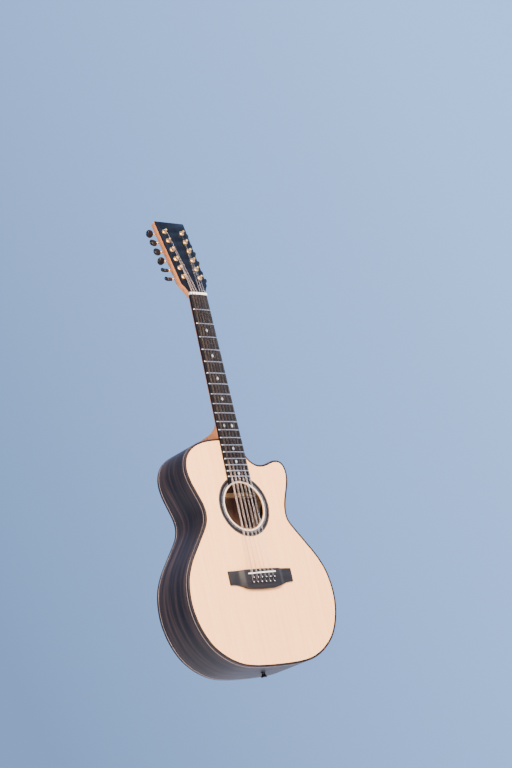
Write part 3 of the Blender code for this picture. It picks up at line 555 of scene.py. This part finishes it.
def bridge_rings(bm, ring, following):
    """Four-sided faces between two closed rings of vertices."""
    for i in range(len(ring)):
        j = (i + 1) % len(ring)
        bm.faces.new((ring[i], ring[j], following[j], following[i]))


def loft(sections, closed=False):
    """A body through sections with equal numbers of points, capped unless it closes on itself."""
    bm = bmesh.new()
    rings = [[bm.verts.new(point) for point in section] for section in sections]
    for ring, following in zip(rings, rings[1:] + (rings[:1] if closed else [])):
        bridge_rings(bm, ring, following)
    if not closed:
        bm.faces.new(rings[0])
        bm.faces.new(rings[-1])
    return mesh_from(bm)


def turned(profile, steps=40):
    """A profile of (radius, height) points in millimetres, top to bottom, turned about Z."""
    bm = bmesh.new()
    points = [bm.verts.new((radius * MM, 0, height * MM)) for radius, height in profile]
    for start, end in zip(points, points[1:]):
        bm.edges.new((start, end))
    obj = added(mesh_from(bm, outward=False))
    screw = obj.modifiers.new("turn", "SCREW")
    screw.steps = screw.render_steps = steps
    screw.use_merge_vertices = True
    screw.merge_threshold = 0.00002
    return smooth(applied(obj))


def curve_through(points, facet):
    """A curve through the points, with straight pieces that turn no more than facet degrees."""
    points = [Vector(p) for p in points]
    slopes = [(points[1] - points[0]).normalized()]
    slopes += [(after - before).normalized() for before, after in zip(points, points[2:])]
    slopes += [(points[-1] - points[-2]).normalized()]
    found = [points[0]]
    for a, b, at_a, at_b in zip(points, points[1:], slopes, slopes[1:]):
        pieces = max(1, ceil(degrees(at_a.angle(at_b)) / facet))
        reach = (b - a).length
        for k in range(1, pieces + 1):
            t = k / pieces
            found.append((2 * t**3 - 3 * t**2 + 1) * a + (t**3 - 2 * t**2 + t) * reach * at_a
                         + (3 * t**2 - 2 * t**3) * b + (t**3 - t**2) * reach * at_b)
    return found


def tube(points, radius, sides):
    """A round tube along the points, with flat ends."""
    points = [Vector(p) for p in points]
    sections = []
    across = None
    for i, here in enumerate(points):
        before, after = points[max(i - 1, 0)], points[min(i + 1, len(points) - 1)]
        run = (after - before).normalized()
        guide = across if across is not None else run.orthogonal()
        across = (guide - run * guide.dot(run)).normalized()
        other = run.cross(across)
        sections.append([here + (across * cos(a) + other * sin(a)) * radius
                         for a in full_turn(sides)])
    return smooth(loft(sections), 60)


# --- body ---
def body_outline():
    """The closed outline, anticlockwise from the neck's treble corner, in metres."""
    left = [(-x, z) for x, z in reversed(LOWER_BOUT)]
    chain = SHOULDER + left + LOWER_BOUT[1:] + HORN
    return [p * MM for p in curve_through(chain, OUTLINE_FACET)[:-1]]


def inset(outline, distance):
    """The closed outline moved inwards by the distance, corners kept square."""
    found = []
    for before, here, after in zip(outline[-1:] + outline[:-1], outline, outline[1:] + outline[:1]):
        first, second = (here - before).normalized(), (after - here).normalized()
        normals = Vector((-first.y, first.x)), Vector((-second.y, second.x))
        middle = (normals[0] + normals[1]).normalized()
        found.append(here + middle * (distance / middle.dot(normals[0])))
    return found


def back_y(x, z):
    """The outer surface of the domed back."""
    dome = (x * x + (z - DOME_Z) ** 2) / (2 * DOME_RADIUS)
    return TOP_Y + DEPTH_CENTRE - BACK_TAPER * (z - DOME_Z) - dome


def from_front(distance):
    return lambda x, z: TOP_Y + distance


def from_back(distance):
    return lambda x, z: back_y(x, z) - distance


def band(profile, first=0, last=None):
    """A strip round the body, between two points of its outline or all the way.

    Each corner of its profile is a distance in from the outline and a surface.
    """
    lines = [inset(OUTLINE, distance) for distance, _ in profile]
    count = len(OUTLINE)
    chosen = range(count) if last is None else [i % count for i in range(first, last + 1)]
    sections = [[(line[i].x, surface(*line[i]), line[i].y)
                 for line, (_, surface) in zip(lines, profile)] for i in chosen]
    return smooth(loft(sections, closed=last is None))


def rounded_edge(wide, high, radius, surface):
    """A binding's profile with a rounded outer corner; surface is from_front or from_back."""
    angles = [radians(15 * k) for k in range(7)]
    corner = [(radius * (1 - sin(a)), surface(radius * (1 - cos(a)))) for a in angles]
    return corner + [(0, surface(high)), (wide, surface(high)), (wide, surface(0))]


def make_soundboard():
    hole = circle((0, HOLE_Z), HOLE_RADIUS, 160)
    mesh = plate([inset(OUTLINE, BINDING_WIDE), hole], TOP_Y, TOP_Y + TOP_THICK)
    show("soundboard_wood", smooth(mesh), "spruce", replaces="soundboard")
    line = [inset(OUTLINE, BINDING_WIDE - 0.05 * MM), inset(OUTLINE, BINDING_WIDE + EDGE_LINE_WIDE)]
    mesh = plate(line, TOP_Y - 0.05 * MM, TOP_Y + INLAY_DEPTH)
    show("top_edge_line", smooth(mesh), "dark_ring")
    for i, (name, inner, outer, finish, slot) in enumerate(ROSETTE):
        rings = [circle((0, HOLE_Z), outer * MM, 192), circle((0, HOLE_Z), inner * MM, 192)]
        depth = TOP_THICK if i == 0 else INLAY_DEPTH
        mesh = plate(rings, TOP_Y - 0.06 * MM, TOP_Y + depth)
        show(name, bevelled(mesh, 0.04 * MM, 1), finish)


def back_sheet(edge, near, far):
    """A sheet that follows the dome between two depths below its outer surface."""
    centre = Vector((0, BACK_CENTRE_Z))
    steps = 16
    bm = bmesh.new()
    rims = []
    for depth in (near, far):
        grid = []
        for k in range(steps):
            ring = [centre + (p - centre) * (1 - k / steps) for p in edge]
            grid.append([bm.verts.new((x, back_y(x, z) - depth, z)) for x, z in ring])
        middle = bm.verts.new((centre.x, back_y(*centre) - depth, centre.y))
        for outer, inner in zip(grid, grid[1:]):
            bridge_rings(bm, outer, inner)
        last = grid[-1]
        for start, end in zip(last, last[1:] + last[:1]):
            bm.faces.new((start, end, middle))
        rims.append(grid[0])
    bridge_rings(bm, *rims)
    return smooth(mesh_from(bm))


def make_back():
    """The domed back, its bare inner face, and the strip down its centre joint."""
    whole = back_sheet(inset(OUTLINE, BINDING_WIDE), 0, BACK_THICK)
    show("back_wood", whole, "back", replaces="back_plate")
    bare = back_sheet(inset(OUTLINE, LINING_WIDE), BACK_THICK - 0.1 * MM, BACK_THICK + 0.1 * MM)
    show("back_inner_face", bare, "inside")
    heights = [BINDING_WIDE + (JOINT_Z - 3 * BINDING_WIDE) * k / 60 for k in range(61)]
    for name, side, proud, finish in BACK_STRIPS:
        corners = ((-side, proud), (side, proud), (side, -MM), (-side, -MM))
        sections = [[(x, back_y(0, z) + rise, z) for x, rise in corners] for z in heights]
        show(name, smooth(loft(sections)), finish)


def make_sides():
    """Two ribs, and the bindings and purfling lines round both edges."""
    tail = next(i for i, p in enumerate(OUTLINE) if p.length < 1e-9)
    top = next(i for i, p in enumerate(OUTLINE) if abs(p.x) < 1e-9 and p.y > DOME_Z)
    edge = BINDING_HIGH + PURFLING_HIGH
    wall = [(0, from_front(edge)), (RIB_THICK, from_front(edge)),
            (RIB_THICK, from_back(edge)), (0, from_back(edge))]
    for name, first, last in (("rib_bass", top, tail), ("rib_treble", tail, top + len(OUTLINE))):
        show(name + "_wood", band(wall, first, last), "ribs", replaces=name)
    for side, surface in (("top", from_front), ("back", from_back)):
        profile = rounded_edge(BINDING_WIDE, BINDING_HIGH, BINDING_ROUND, surface)
        show(f"{side}_binding_wood", band(profile), "binding",
             replaces=f"{side}_binding")
        low, high = surface(BINDING_HIGH), surface(edge)
        line = [(0, low), (PURFLING_DEEP, low), (PURFLING_DEEP, high), (0, high)]
        show(f"{side}_purfling", band(line), "line")


def make_end_pin():
    """A turned pin with a collar at the tail and a pearl dot in its end."""
    profile = [(0, 26), (3.2, 26), (3.8, -0.1), (5.4, -0.15), (5.6, -0.7), (5.0, -1.3),
               (4.4, -2.4), (4.2, -3.8), (4.5, -5.4), (5.5, -7.2), (6.8, -8.4), (7.2, -9.3),
               (7.0, -10.3), (6.4, -10.85), (0, -10.85)]
    mesh = turned(profile, 48)
    show("end_pin_wood", mesh, "button", replaces="end_pin")
    dot = turned([(0, -10.5), (2.4, -10.5), (2.3, -10.95), (0, -11)], 32)
    show("end_pin_dot", dot, "pearl")


# --- bridge, saddle, nut ---
def crown(x):
    """How far the playing surface falls away at a distance from the centre line."""
    return x * x / (2 * CROWN_RADIUS)


def course_x(index, course, pair):
    """The sideways place of string 0 to 11, bass to treble."""
    place = index // 2 - (COURSES - 1) / 2
    return place * course + (pair if index % 2 else -pair)


def pin_place(index):
    return course_x(index, PIN_SPACING, PIN_SHIFT), PIN_ROWS_Z[index % 2]


def make_bridge():
    """What the plan outline and the thickness profile share, less the slot and the pin holes."""
    rear = [p * MM for p in curve_through(BRIDGE_REAR, 3)]
    plan = rear + [Vector((-p.x, p.y)) for p in reversed(rear[:-1])]
    front = [Vector(p) * MM for p in BRIDGE_FRONT]
    plan += [Vector((-front[1].x, front[1].y)), front[0], front[1]]
    top = curve_through([Vector((x * MM, TOP_Y - h * MM)) for x, h in BRIDGE_SECTION], 3)
    section = top + [Vector((-p.x, p.y)) for p in reversed(top)]
    side, foot = 89 * MM, TOP_Y - 0.06 * MM
    section += [Vector(p) for p in ((-side, section[-1].y), (-side, foot), (side, foot),
                                    (side, section[0].y))]
    block = plate([plan], TOP_Y - 20 * MM, TOP_Y + 10 * MM)
    profile = plate([section], 150 * MM, 230 * MM, turn=False)
    mesh = bevelled(combined(block, profile, operation="INTERSECT"), 0.7 * MM)
    slot = boxes([((-38.9 * MM, TOP_Y - 20 * MM, -1.25 * MM),
                   (38.9 * MM, TOP_Y - 2.2 * MM, 1.25 * MM))])
    holes = [((x, TOP_Y - 20 * MM, z), (x, TOP_Y - 2.0 * MM, z), 2.3 * MM)
             for x, z in map(pin_place, range(2 * COURSES))]
    mesh = combined(mesh, moved(slot, SADDLE_TURN), cylinders(holes))
    show("bridge_wood", smooth(mesh), "bridge", replaces="bridge")


def make_pins():
    """Twelve turned pins with a collar and a domed head, and the pearl dot in each."""
    profile = [(0, 12.0), (0.9, 11.95), (1.6, 11.7), (2.1, 11.3), (2.35, 10.8), (2.3, 10.2),
               (1.95, 9.75), (1.85, 9.5), (2.1, 9.25), (2.2, 8.9), (1.9, 8.6), (1.75, 3), (0, 3)]
    dot = [(0, 12.2), (0.6, 12.18), (0.95, 12.08), (1.1, 11.9), (1.1, 11.2), (0, 11.2)]
    pins, dots = [], []
    for index in range(2 * COURSES):
        x, z = pin_place(index)
        for shape, kept in ((profile, pins), (dot, dots)):
            place = Matrix.Translation((x, TOP_Y, z))
            kept.append(moved(turned(shape, 28), UPRIGHT, place))
    show("bridge_pins", joined(pins), "button")
    show("bridge_pin_dots", joined(dots), "bone")


def crowned_bar(half_width, low, top, thick):
    """A bar across the strings with a crowned top edge, centred on Z = 0."""
    section = [(x, TOP_Y - top + crown(x)) for x in spread(half_width, 24)]
    section += [(half_width, TOP_Y - low), (-half_width, TOP_Y - low)]
    return plate([section], -thick / 2, thick / 2, turn=False)


def make_saddle():
    mesh = bevelled(crowned_bar(38.8 * MM, 2.6 * MM, SADDLE_TOP, 2.4 * MM), 0.9 * MM, 4)
    show("saddle_bone", moved(mesh, SADDLE_TURN), "bone", replaces="saddle")


def make_nut():
    """The nut with a rounded rear edge and a slot under each string."""
    low, high = NUT_Z + 0.1 * MM, NUT_BACK_Z
    mesh = bevelled(crowned_bar(NUT_HALF, 0.1 * MM, NUT_TOP, high - low), 0.7 * MM, 4)
    mesh = moved(mesh, Matrix.Translation((0, 0, (low + high) / 2)))
    for i, radius in enumerate(STRING_RADII):
        x, y = course_x(i, NUT_COURSE, NUT_PAIR), nut_string_y(i)
        for deep in (y, y - 0.5 * MM):
            slot = (x, deep, NUT_Z - 2 * MM), (x, deep, NUT_BACK_Z + 2 * MM), radius + 0.05 * MM
            mesh = combined(mesh, cylinders([slot], 16))
    show("nut_bone", smooth(mesh), "bone", replaces="nut")


# --- neck and head ---
def board_half(z):
    return NUT_HALF + BOARD_FLARE * (NUT_Z - z)


def neck_section(z, depth, power=NECK_ROUND):
    """The neck's outline at a height: flat in front, rounded behind."""
    half_width = board_half(z)
    angles = [pi * k / 40 for k in range(41)]
    return [(-half_width * cos(a), TOP_Y + depth * abs(sin(a)) ** power, z) for a in angles]


def head_outline(start):
    """The head's face, from start millimetres above the nut line to its straight top."""
    side = curve_through(HEAD_SIDE, 2)
    if start:
        side = [Vector((24.8, start))] + [p for p in side if p.y > start]
    side = [p * MM for p in side + [Vector(p) for p in HEAD_TOP]]
    return side + [Vector((-p.x, p.y)) for p in reversed(side)]


def make_neck():
    """Shaft, heel and head in one piece of wood."""
    shaft = [(884, NECK_DEPTH_NUT - 1 * MM), (862, NECK_DEPTH_NUT), (853, NECK_DEPTH_NUT),
             (780, 15.0 * MM), (700, 15.6 * MM), (640, 16.1 * MM), (590, 16.6 * MM)]
    sections = [neck_section(z * MM, depth) for z, depth in shaft]
    for k in range(31):
        angle = radians(3 * k)
        z = HEEL_TOP_Z - (HEEL_TOP_Z - HEEL_CAP_Z) * sin(angle)
        part = 1 - cos(angle)
        depth = NECK_DEPTH_HEEL + (HEEL_TIP_DEPTH - NECK_DEPTH_HEEL) * part
        sections.append(neck_section(z, depth, NECK_ROUND + (1 - NECK_ROUND) * part))
    sections.append(neck_section(JOINT_Z, HEEL_TIP_DEPTH, 1))
    neck = loft(sections)
    head = bevelled(plate([head_outline(0)], VENEER_THICK, HEAD_THICK), 0.6 * MM, 2)
    neck = combined(neck, moved(head, HEAD), operation="UNION")
    in_front = moved(boxes([((-0.08, -0.05, 5.9 * MM), (0.08, VENEER_THICK, 0.23))]), HEAD)
    seat = boxes([((-0.08, TOP_Y - 0.05, 0.80), (0.08, TOP_Y, NUT_BACK_Z))])
    tip = boxes([((-0.04, HEEL_CAP_FRONT, 0.50), (0.04, HEEL_CAP_FRONT + 0.05, 0.56))])
    posts = cylinders([(post_foot(side, row, -0.02), post_foot(side, row, 0.03), 3.3 * MM)
                       for side, _ in SIDES for row in range(COURSES)], 24)
    neck = combined(neck, in_front, seat, tip, posts)
    show("neck_wood", smooth(neck, 28), "neck", replaces="neck")


def make_heel_cap():
    """The dark piece on the heel's tip, as wide as the heel is at that depth."""
    half_width = 29.5 * MM * sqrt(1 - ((HEEL_CAP_Y - TOP_Y) / HEEL_TIP_DEPTH) ** 2)
    plan = [(-half_width, JOINT_Z), (half_width, JOINT_Z)]
    for k in range(33):
        angle = pi * k / 32
        plan.append((half_width * cos(angle), 524 * MM + 8 * MM * sin(angle)))
    cap = bevelled(plate([plan], HEEL_CAP_FRONT + 0.1 * MM, HEEL_CAP_Y), 0.5 * MM)
    show("heel_cap_wood", cap, "bridge", replaces="heel_cap")


def make_fingerboard():
    """The crowned board, its hollow end following the sound hole."""
    sections = []
    for z in (NUT_Z, 402.5 * MM):
        side = board_half(z)
        top = [(x, TOP_Y - BOARD_THICK + crown(x), z) for x in spread(side, 24)]
        sections.append(top + [(side, TOP_Y, z), (-side, TOP_Y, z)])
    end = cylinders([((0, TOP_Y - 0.03, HOLE_Z), (0, TOP_Y + 0.01, HOLE_Z), BOARD_END_RADIUS)], 192)
    board = bevelled(combined(loft(sections), end), 0.4 * MM, 2)
    show("fingerboard_wood", board, "board", replaces="fingerboard")


def fret_z(number):
    return NUT_Z - SCALE_LENGTH * (1 - 2 ** (-number / 12))


def make_frets():
    """Domed wires laid over the crown, their ends sloped back to the board's edge."""
    frets = []
    for number in range(1, FRETS + 1):
        z = fret_z(number)
        half_width = board_half(z) - 0.1 * MM
        sections = []
        for x in spread(half_width, 16):
            room = (half_width - abs(x)) / FRET_SLOPE
            high = FRET_HIGH * min(1.0, 0.25 + 0.75 * room)
            base = TOP_Y - BOARD_THICK + crown(x) + FRET_SUNK
            angles = [pi * j / 10 for j in range(11)]
            sections.append([(x, base - (high + FRET_SUNK) * sin(a),
                              z - FRET_HALF * cos(a)) for a in angles])
        frets.append(loft(sections))
    show("frets", joined(frets), "fret")


def diamond(x, z, half_width, half_height):
    """A small four-pointed star with hollow sides."""
    return [(x + half_width * signed_power(cos(a), 1.6),
             z + half_height * signed_power(sin(a), 1.6)) for a in full_turn(32)]


def make_inlays():
    marks = []
    for number in INLAY_FRETS:
        z = (fret_z(number) + fret_z(number - 1)) / 2
        for x in ((-11 * MM, 11 * MM) if number == DOUBLE_INLAY else (0,)):
            face = TOP_Y - BOARD_THICK + crown(x)
            marks.append(plate([diamond(x, z, 3.0 * MM, 4.2 * MM)], face - 0.06 * MM,
                               face + 1 * MM))
    show("position_inlays", joined(marks), "pearl")


def make_head_veneer():
    holes = [circle((sign * abs(post_foot(side, 0).x) + sign * 0.3 * MM * row, post_s(row)),
                    3.3 * MM, 32) for side, sign in SIDES for row in range(COURSES)]
    mesh = plate([head_outline(5.95)] + holes, 0, VENEER_THICK)
    show("head_veneer_gloss", bevelled(mesh, 0.35 * MM, 2), "veneer",
         replaces="head_veneer", place=HEAD)


# --- tuners ---
def post_foot(side, row, depth=0.0):
    """The point of a post's axis at a depth behind the head's face."""
    joint = JOINTS[f"post_{side}_{row + 1}_turn"]
    return Vector(joint["pos_m"]) - Vector(joint["axis"]) * depth


def post_x(side, row):
    """How far a post stands to the treble side of the head's centre line."""
    return (HEAD.inverted() @ post_foot(side, row)).x


def post_s(row):
    """How far a post stands along the head from the nut line."""
    return (HEAD.inverted() @ post_foot("bass", row)).z


def head_place(point):
    """The head's turn, moved to a point."""
    return Matrix.Translation(point) @ HEAD.to_quaternion().to_matrix().to_4x4()


def make_post_mesh():
    """A turned post with a cross hole for the string and its gear wheel."""
    r = POST_RADIUS / MM
    profile = [(0, 10), (1.5, 10), (2.1, 9.85), (2.55, 9.45), (r, 8.9), (r, 8.1), (r - 0.2, 7.8),
               (r - 0.2, 7.4), (r, 7.1), (r, 2.2), (2.9, 2.0), (2.9, -19.0), (0, -19.0)]
    post = turned(profile, 40)
    hole = cylinders([((-6 * MM, 0, 7.6 * MM), (6 * MM, 0, 7.6 * MM), 0.75 * MM)], 20)
    post = moved(combined(post, hole), UPRIGHT)
    rim = []
    for k in range(4 * GEAR_TEETH):
        radius = GEAR_RADIUS if k % 4 in (1, 2) else GEAR_RADIUS - 0.7 * MM
        angle = pi * (k + 0.5) / (2 * GEAR_TEETH)
        rim.append((radius * cos(angle), radius * sin(angle)))
    gear = plate([rim], WORM_DEPTH - 1.4 * MM, WORM_DEPTH + 1.4 * MM)
    return joined([post, gear])


def winding(index):
    """The turns of string round its post, starting where the string meets it."""
    radius = STRING_RADII[index]
    sign = -1 if index < COURSES else 1
    turns = min(5.0, max(1.8, WINDING_HIGH / (2 * radius)))
    coil = POST_RADIUS + radius + 0.02 * MM
    steps = round(24 * turns)
    points = []
    for k in range(steps + 1):
        angle = 2 * pi * turns * k / steps
        rise = STRING_HEIGHT + 2.04 * radius * turns * k / steps
        points.append((-sign * coil * cos(angle), -rise, coil * sin(angle)))
    return tube(points, radius, 10)


def make_button_mesh(sign):
    """The dark paddle of a button, outwards from the post's axis along X."""
    rings = [(18.0, 2.4, 2.1), (18.4, 4.4, 3.0), (19.4, 6.2, 3.6), (21.0, 7.8, 3.4),
             (23.4, 9.0, 3.1), (26.4, 9.5, 3.2), (29.0, 9.3, 3.7), (31.2, 8.5, 4.15),
             (32.8, 7.1, 4.2), (33.7, 5.7, 3.9), (34.1, 4.4, 3.3), (34.15, 2.0, 1.5)]
    sections = []
    for reach, wide, thick in curve_through(rings, 6):
        sections.append([(sign * reach * MM, thick * MM * signed_power(sin(a), 0.8),
                          wide * MM * signed_power(cos(a), 0.9)) for a in full_turn(36)])
    return smooth(loft(sections), 50)


def make_shaft_mesh(sign):
    """Worm shaft, collar under the paddle and the screw in its end."""
    shaft = [(0, 18.9), (2.2, 18.9), (3.2, 18.6), (3.6, 18.0), (3.5, 17.3), (3.0, 16.8),
             (2.7, 16.4), (3.0, 16.0), (3.2, 15.4), (2.9, 14.8), (2.0, 14.4), (1.5, 14.0),
             (1.5, 5.0)]
    for turn in range(5):
        low = 4.4 - 1.8 * turn
        shaft += [(1.1, low), (1.1, low - 0.5), (1.5, low - 0.8), (1.5, low - 1.1)]
    shaft += [(1.1, -4.7), (0, -4.7)]
    screw = [(0, 34.2), (0.8, 34.2), (1.3, 34.15), (1.5, 33.9), (1.5, 33.2), (0, 33.2)]
    return joined([moved(turned(profile, 32), Matrix.Rotation(sign * pi / 2, 4, "Y"))
                   for profile in (shaft, screw)])


def make_tuners():
    """Posts with the turns of string on them, and buttons on their worm shafts."""
    post_mesh = make_post_mesh()
    for side, sign in SIDES:
        paddle, shaft = make_button_mesh(sign), make_shaft_mesh(sign)
        for row in range(COURSES):
            label = f"{side}_{row + 1}"
            index = row if side == "bass" else 2 * COURSES - 1 - row
            place = head_place(post_foot(side, row))
            show(f"string_post_{label}", post_mesh.copy(), "gold", f"post_{label}",
                 f"tuner_post_{label}", place)
            finish = "wound" if STRING_RADII[index] > WOUND_RADIUS else "plain"
            show(f"string_turns_{label}", winding(index), finish, f"post_{label}",
                 place=place)
            joint = JOINTS[f"button_{label}_turn"]
            spin = Matrix.Rotation(radians(BUTTON_ANGLES[side][row]), 4, "X")
            place = head_place(joint["pos_m"]) @ spin
            show(f"button_{label}_ebony", paddle.copy(), "button",
                 f"button_{label}", f"tuner_button_{label}", place)
            show(f"button_{label}_shaft", shaft.copy(), "gold", f"button_{label}",
                 place=place)


def make_ferrules():
    """A domed ring round each post where it comes out of the head."""
    profile = [(3.05, 1.9), (3.6, 2.2), (4.5, 2.1), (5.3, 1.7), (5.9, 1.0), (6.2, 0.3), (6.2, 0),
               (4.2, 0), (4.2, -1.4), (3.05, -1.4), (3.05, 1.9)]
    for side, _ in SIDES:
        rings = [moved(turned(profile), UPRIGHT, head_place(post_foot(side, row)))
                 for row in range(COURSES)]
        show(f"ferrules_{side}", joined(rings), "gold")


def make_tuner_plates():
    """On each side a strip with six gear boxes, open towards the head, and its screws."""
    back = HEAD_THICK + 0.1 * MM
    screw = [(0, 0.95), (0.7, 0.9), (1.3, 0.6), (1.6, 0.1), (1.6, -0.4), (0, -0.4)]
    for side, sign in SIDES:
        xs = [post_x(side, row) for row in range(COURSES)]
        middle = (xs[0] + xs[-1]) / 2
        strip = boxes([((middle - 8 * MM, back, 33.5 * MM),
                        (middle + 8 * MM, back + 1.4 * MM, 197 * MM))])
        strip = bevelled(strip, 0.5 * MM, 2)
        cases, pockets, shafts, screws = [], [], [], []
        for row, x in enumerate(xs):
            s = post_s(row)
            case = boxes([((x - 6.5 * MM, back + 0.5 * MM, s - 6.4 * MM),
                           (x + 6.5 * MM, back + 9.2 * MM, s + 9.6 * MM))])
            cases.append(bevelled(case, 1.3 * MM, 4))
            pockets.append(((x - 5.3 * MM, back - 0.01, s - 5.3 * MM),
                            (x + 5.3 * MM, back + 7.8 * MM, s + 8.4 * MM)))
            shafts.append(((x, WORM_DEPTH, s + WORM_OFFSET),
                           (x + sign * 10 * MM, WORM_DEPTH, s + WORM_OFFSET),
                           WORM_RADIUS + 0.3 * MM))
            gaps = [s - 10.9 * MM] + ([s + 14 * MM] if row == COURSES - 1 else [])
            for place in gaps:
                groove = boxes([((-2 * MM, -0.2 * MM, 0.55 * MM), (2 * MM, 0.2 * MM, 2 * MM))])
                screws.append(moved(combined(turned(screw, 24), groove),
                                    Matrix.Rotation(-pi / 2, 4, "X"),
                                    Matrix.Translation((middle, back + 1.4 * MM, place))))
        strip = combined(strip, *cases, operation="UNION")
        strip = combined(strip, boxes(pockets), cylinders(shafts, 24))
        show(f"tuner_housing_{side}", smooth(strip, 28), "gold",
             replaces=f"tuner_plate_{side}", place=HEAD)
        show(f"tuner_screws_{side}", joined(screws), "gold", place=HEAD)


# --- strings ---
def nut_string_y(index):
    x = course_x(index, NUT_COURSE, NUT_PAIR)
    return TOP_Y - 8.05 * MM - STRING_RADII[index] + crown(x)


def string_route(index):
    """From the pin hole over the saddle and the nut to the post, clear of its neighbours."""
    radius = STRING_RADII[index]
    bass = index < COURSES
    side, sign = SIDES[0] if bass else SIDES[1]
    row = index if bass else 2 * COURSES - 1 - index
    pin_x, pin_z = pin_place(index)
    x = course_x(index, SADDLE_COURSE, SADDLE_PAIR)
    saddle_z = SADDLE_Z + x * tan(SADDLE_SLANT)
    top = TOP_Y - SADDLE_TOP - radius - 0.02 * MM + crown(x)
    nut_x, nut_y = course_x(index, NUT_COURSE, NUT_PAIR), nut_string_y(index)
    edge = 2.15 * MM
    route = [(pin_x, TOP_Y - 4.5 * MM, pin_z + edge - 0.5 * MM),
             (pin_x, TOP_Y - BRIDGE_TOP + 0.6 * MM, pin_z + edge),
             (pin_x, TOP_Y - BRIDGE_TOP - radius, pin_z + edge + 0.5 * MM),
             (x, top + 0.35 * MM, saddle_z - 1.6 * MM), (x, top, saddle_z - 0.5 * MM),
             (x, top, saddle_z + 0.5 * MM), (x, top + 0.02 * MM, saddle_z + 1.6 * MM),
             (nut_x, nut_y, NUT_Z), (nut_x, nut_y, NUT_BACK_Z - 1.5 * MM),
             (nut_x, nut_y + 0.1 * MM, NUT_BACK_Z)]
    meets = abs(post_x(side, row)) - POST_RADIUS - radius - 0.02 * MM
    if row:
        before = STRING_RADII[index - 1 if bass else index + 1]
        neighbour = abs(post_x(side, row - 1))
        share = post_s(row - 1) / post_s(row)
        straight = abs(nut_x) + (meets - abs(nut_x)) * share
        clear = neighbour - POST_RADIUS - 2 * before - radius - 0.5 * MM
        route.append(HEAD @ Vector((sign * min(straight, clear),
                                    -STRING_HEIGHT * (0.75 + 0.25 * share), post_s(row - 1))))
    route.append(HEAD @ Vector((sign * meets, -STRING_HEIGHT, post_s(row))))
    return route


def make_strings():
    for index, radius in enumerate(STRING_RADII):
        name = f"string_{index + 1:02d}"
        finish = "wound" if radius > WOUND_RADIUS else "plain"
        show(name + "_wire", tube(string_route(index), radius, 12), finish,
             replaces=name)


# --- carried-over inner pieces ---
def finish_inner_nodes():
    for finish, nodes in INNER_NODES.items():
        for node in nodes:
            materials = NODES[node].data.materials
            materials.clear()
            materials.append(FINISHES[finish])


# --- camera, lights, floor ---
def looking(place, aim):
    """The placing of a camera or light that stands at a place and looks at its aim."""
    turn = (Vector(aim) - Vector(place)).to_track_quat("-Z", "Y").to_matrix().to_4x4()
    return Matrix.Translation(place) @ turn


def make_camera():
    data = bpy.data.cameras.new("camera")
    data.lens = CAMERA_LENS
    data.clip_end = 200
    camera = added(data, "camera")
    roll = Matrix.Rotation(CAMERA_ROLL, 4, "Z")
    camera.matrix_world = looking(CAMERA_PLACE, CAMERA_AIM) @ roll
    bpy.context.scene.camera = camera


def make_light(name, place, size, power, colour):
    data = bpy.data.lights.new(name, "AREA")
    data.size = size
    data.energy = power
    data.color = colour
    light = added(data, name)
    light.visible_camera = False
    light.matrix_world = looking(place, LIT_POINT)


def make_world():
    """A pale blue surround that brightens along SKY_ALONG."""
    world = bpy.data.worlds.new("studio")
    world.use_nodes = True
    nodes, links = world.node_tree.nodes, world.node_tree.links
    sky = nodes["Background"]
    sky.inputs["Color"].default_value = SKY_COLOUR
    across = nodes.new("ShaderNodeVectorMath")
    across.operation = "DOT_PRODUCT"
    across.inputs[1].default_value = SKY_ALONG
    links.new(nodes.new("ShaderNodeTexCoord").outputs["Generated"], across.inputs[0])
    rise = nodes.new("ShaderNodeMapRange")
    for socket, value in SKY_RISE.items():
        rise.inputs[socket].default_value = value
    links.new(across.outputs["Value"], rise.inputs["Value"])
    links.new(rise.outputs[0], sky.inputs["Strength"])
    bpy.context.scene.world = world


def make_floor():
    bm = bmesh.new()
    bmesh.ops.create_grid(bm, x_segments=8, y_segments=8, size=60)
    mesh = mesh_from(bm, outward=False)
    mesh.materials.append(plain_floor())
    floor = added(mesh, "studio_floor")
    floor.location.z = FLOOR_Z


# --- the whole guitar ---
OUTLINE = body_outline()

make_camera()
for light in LIGHTS:
    make_light(*light)
make_world()
make_floor()
make_soundboard()
make_back()
make_sides()
make_end_pin()
make_bridge()
make_pins()
make_saddle()
make_nut()
make_neck()
make_heel_cap()
make_fingerboard()
make_frets()
make_inlays()
make_head_veneer()
make_ferrules()
make_tuner_plates()
make_tuners()
make_strings()
finish_inner_nodes()
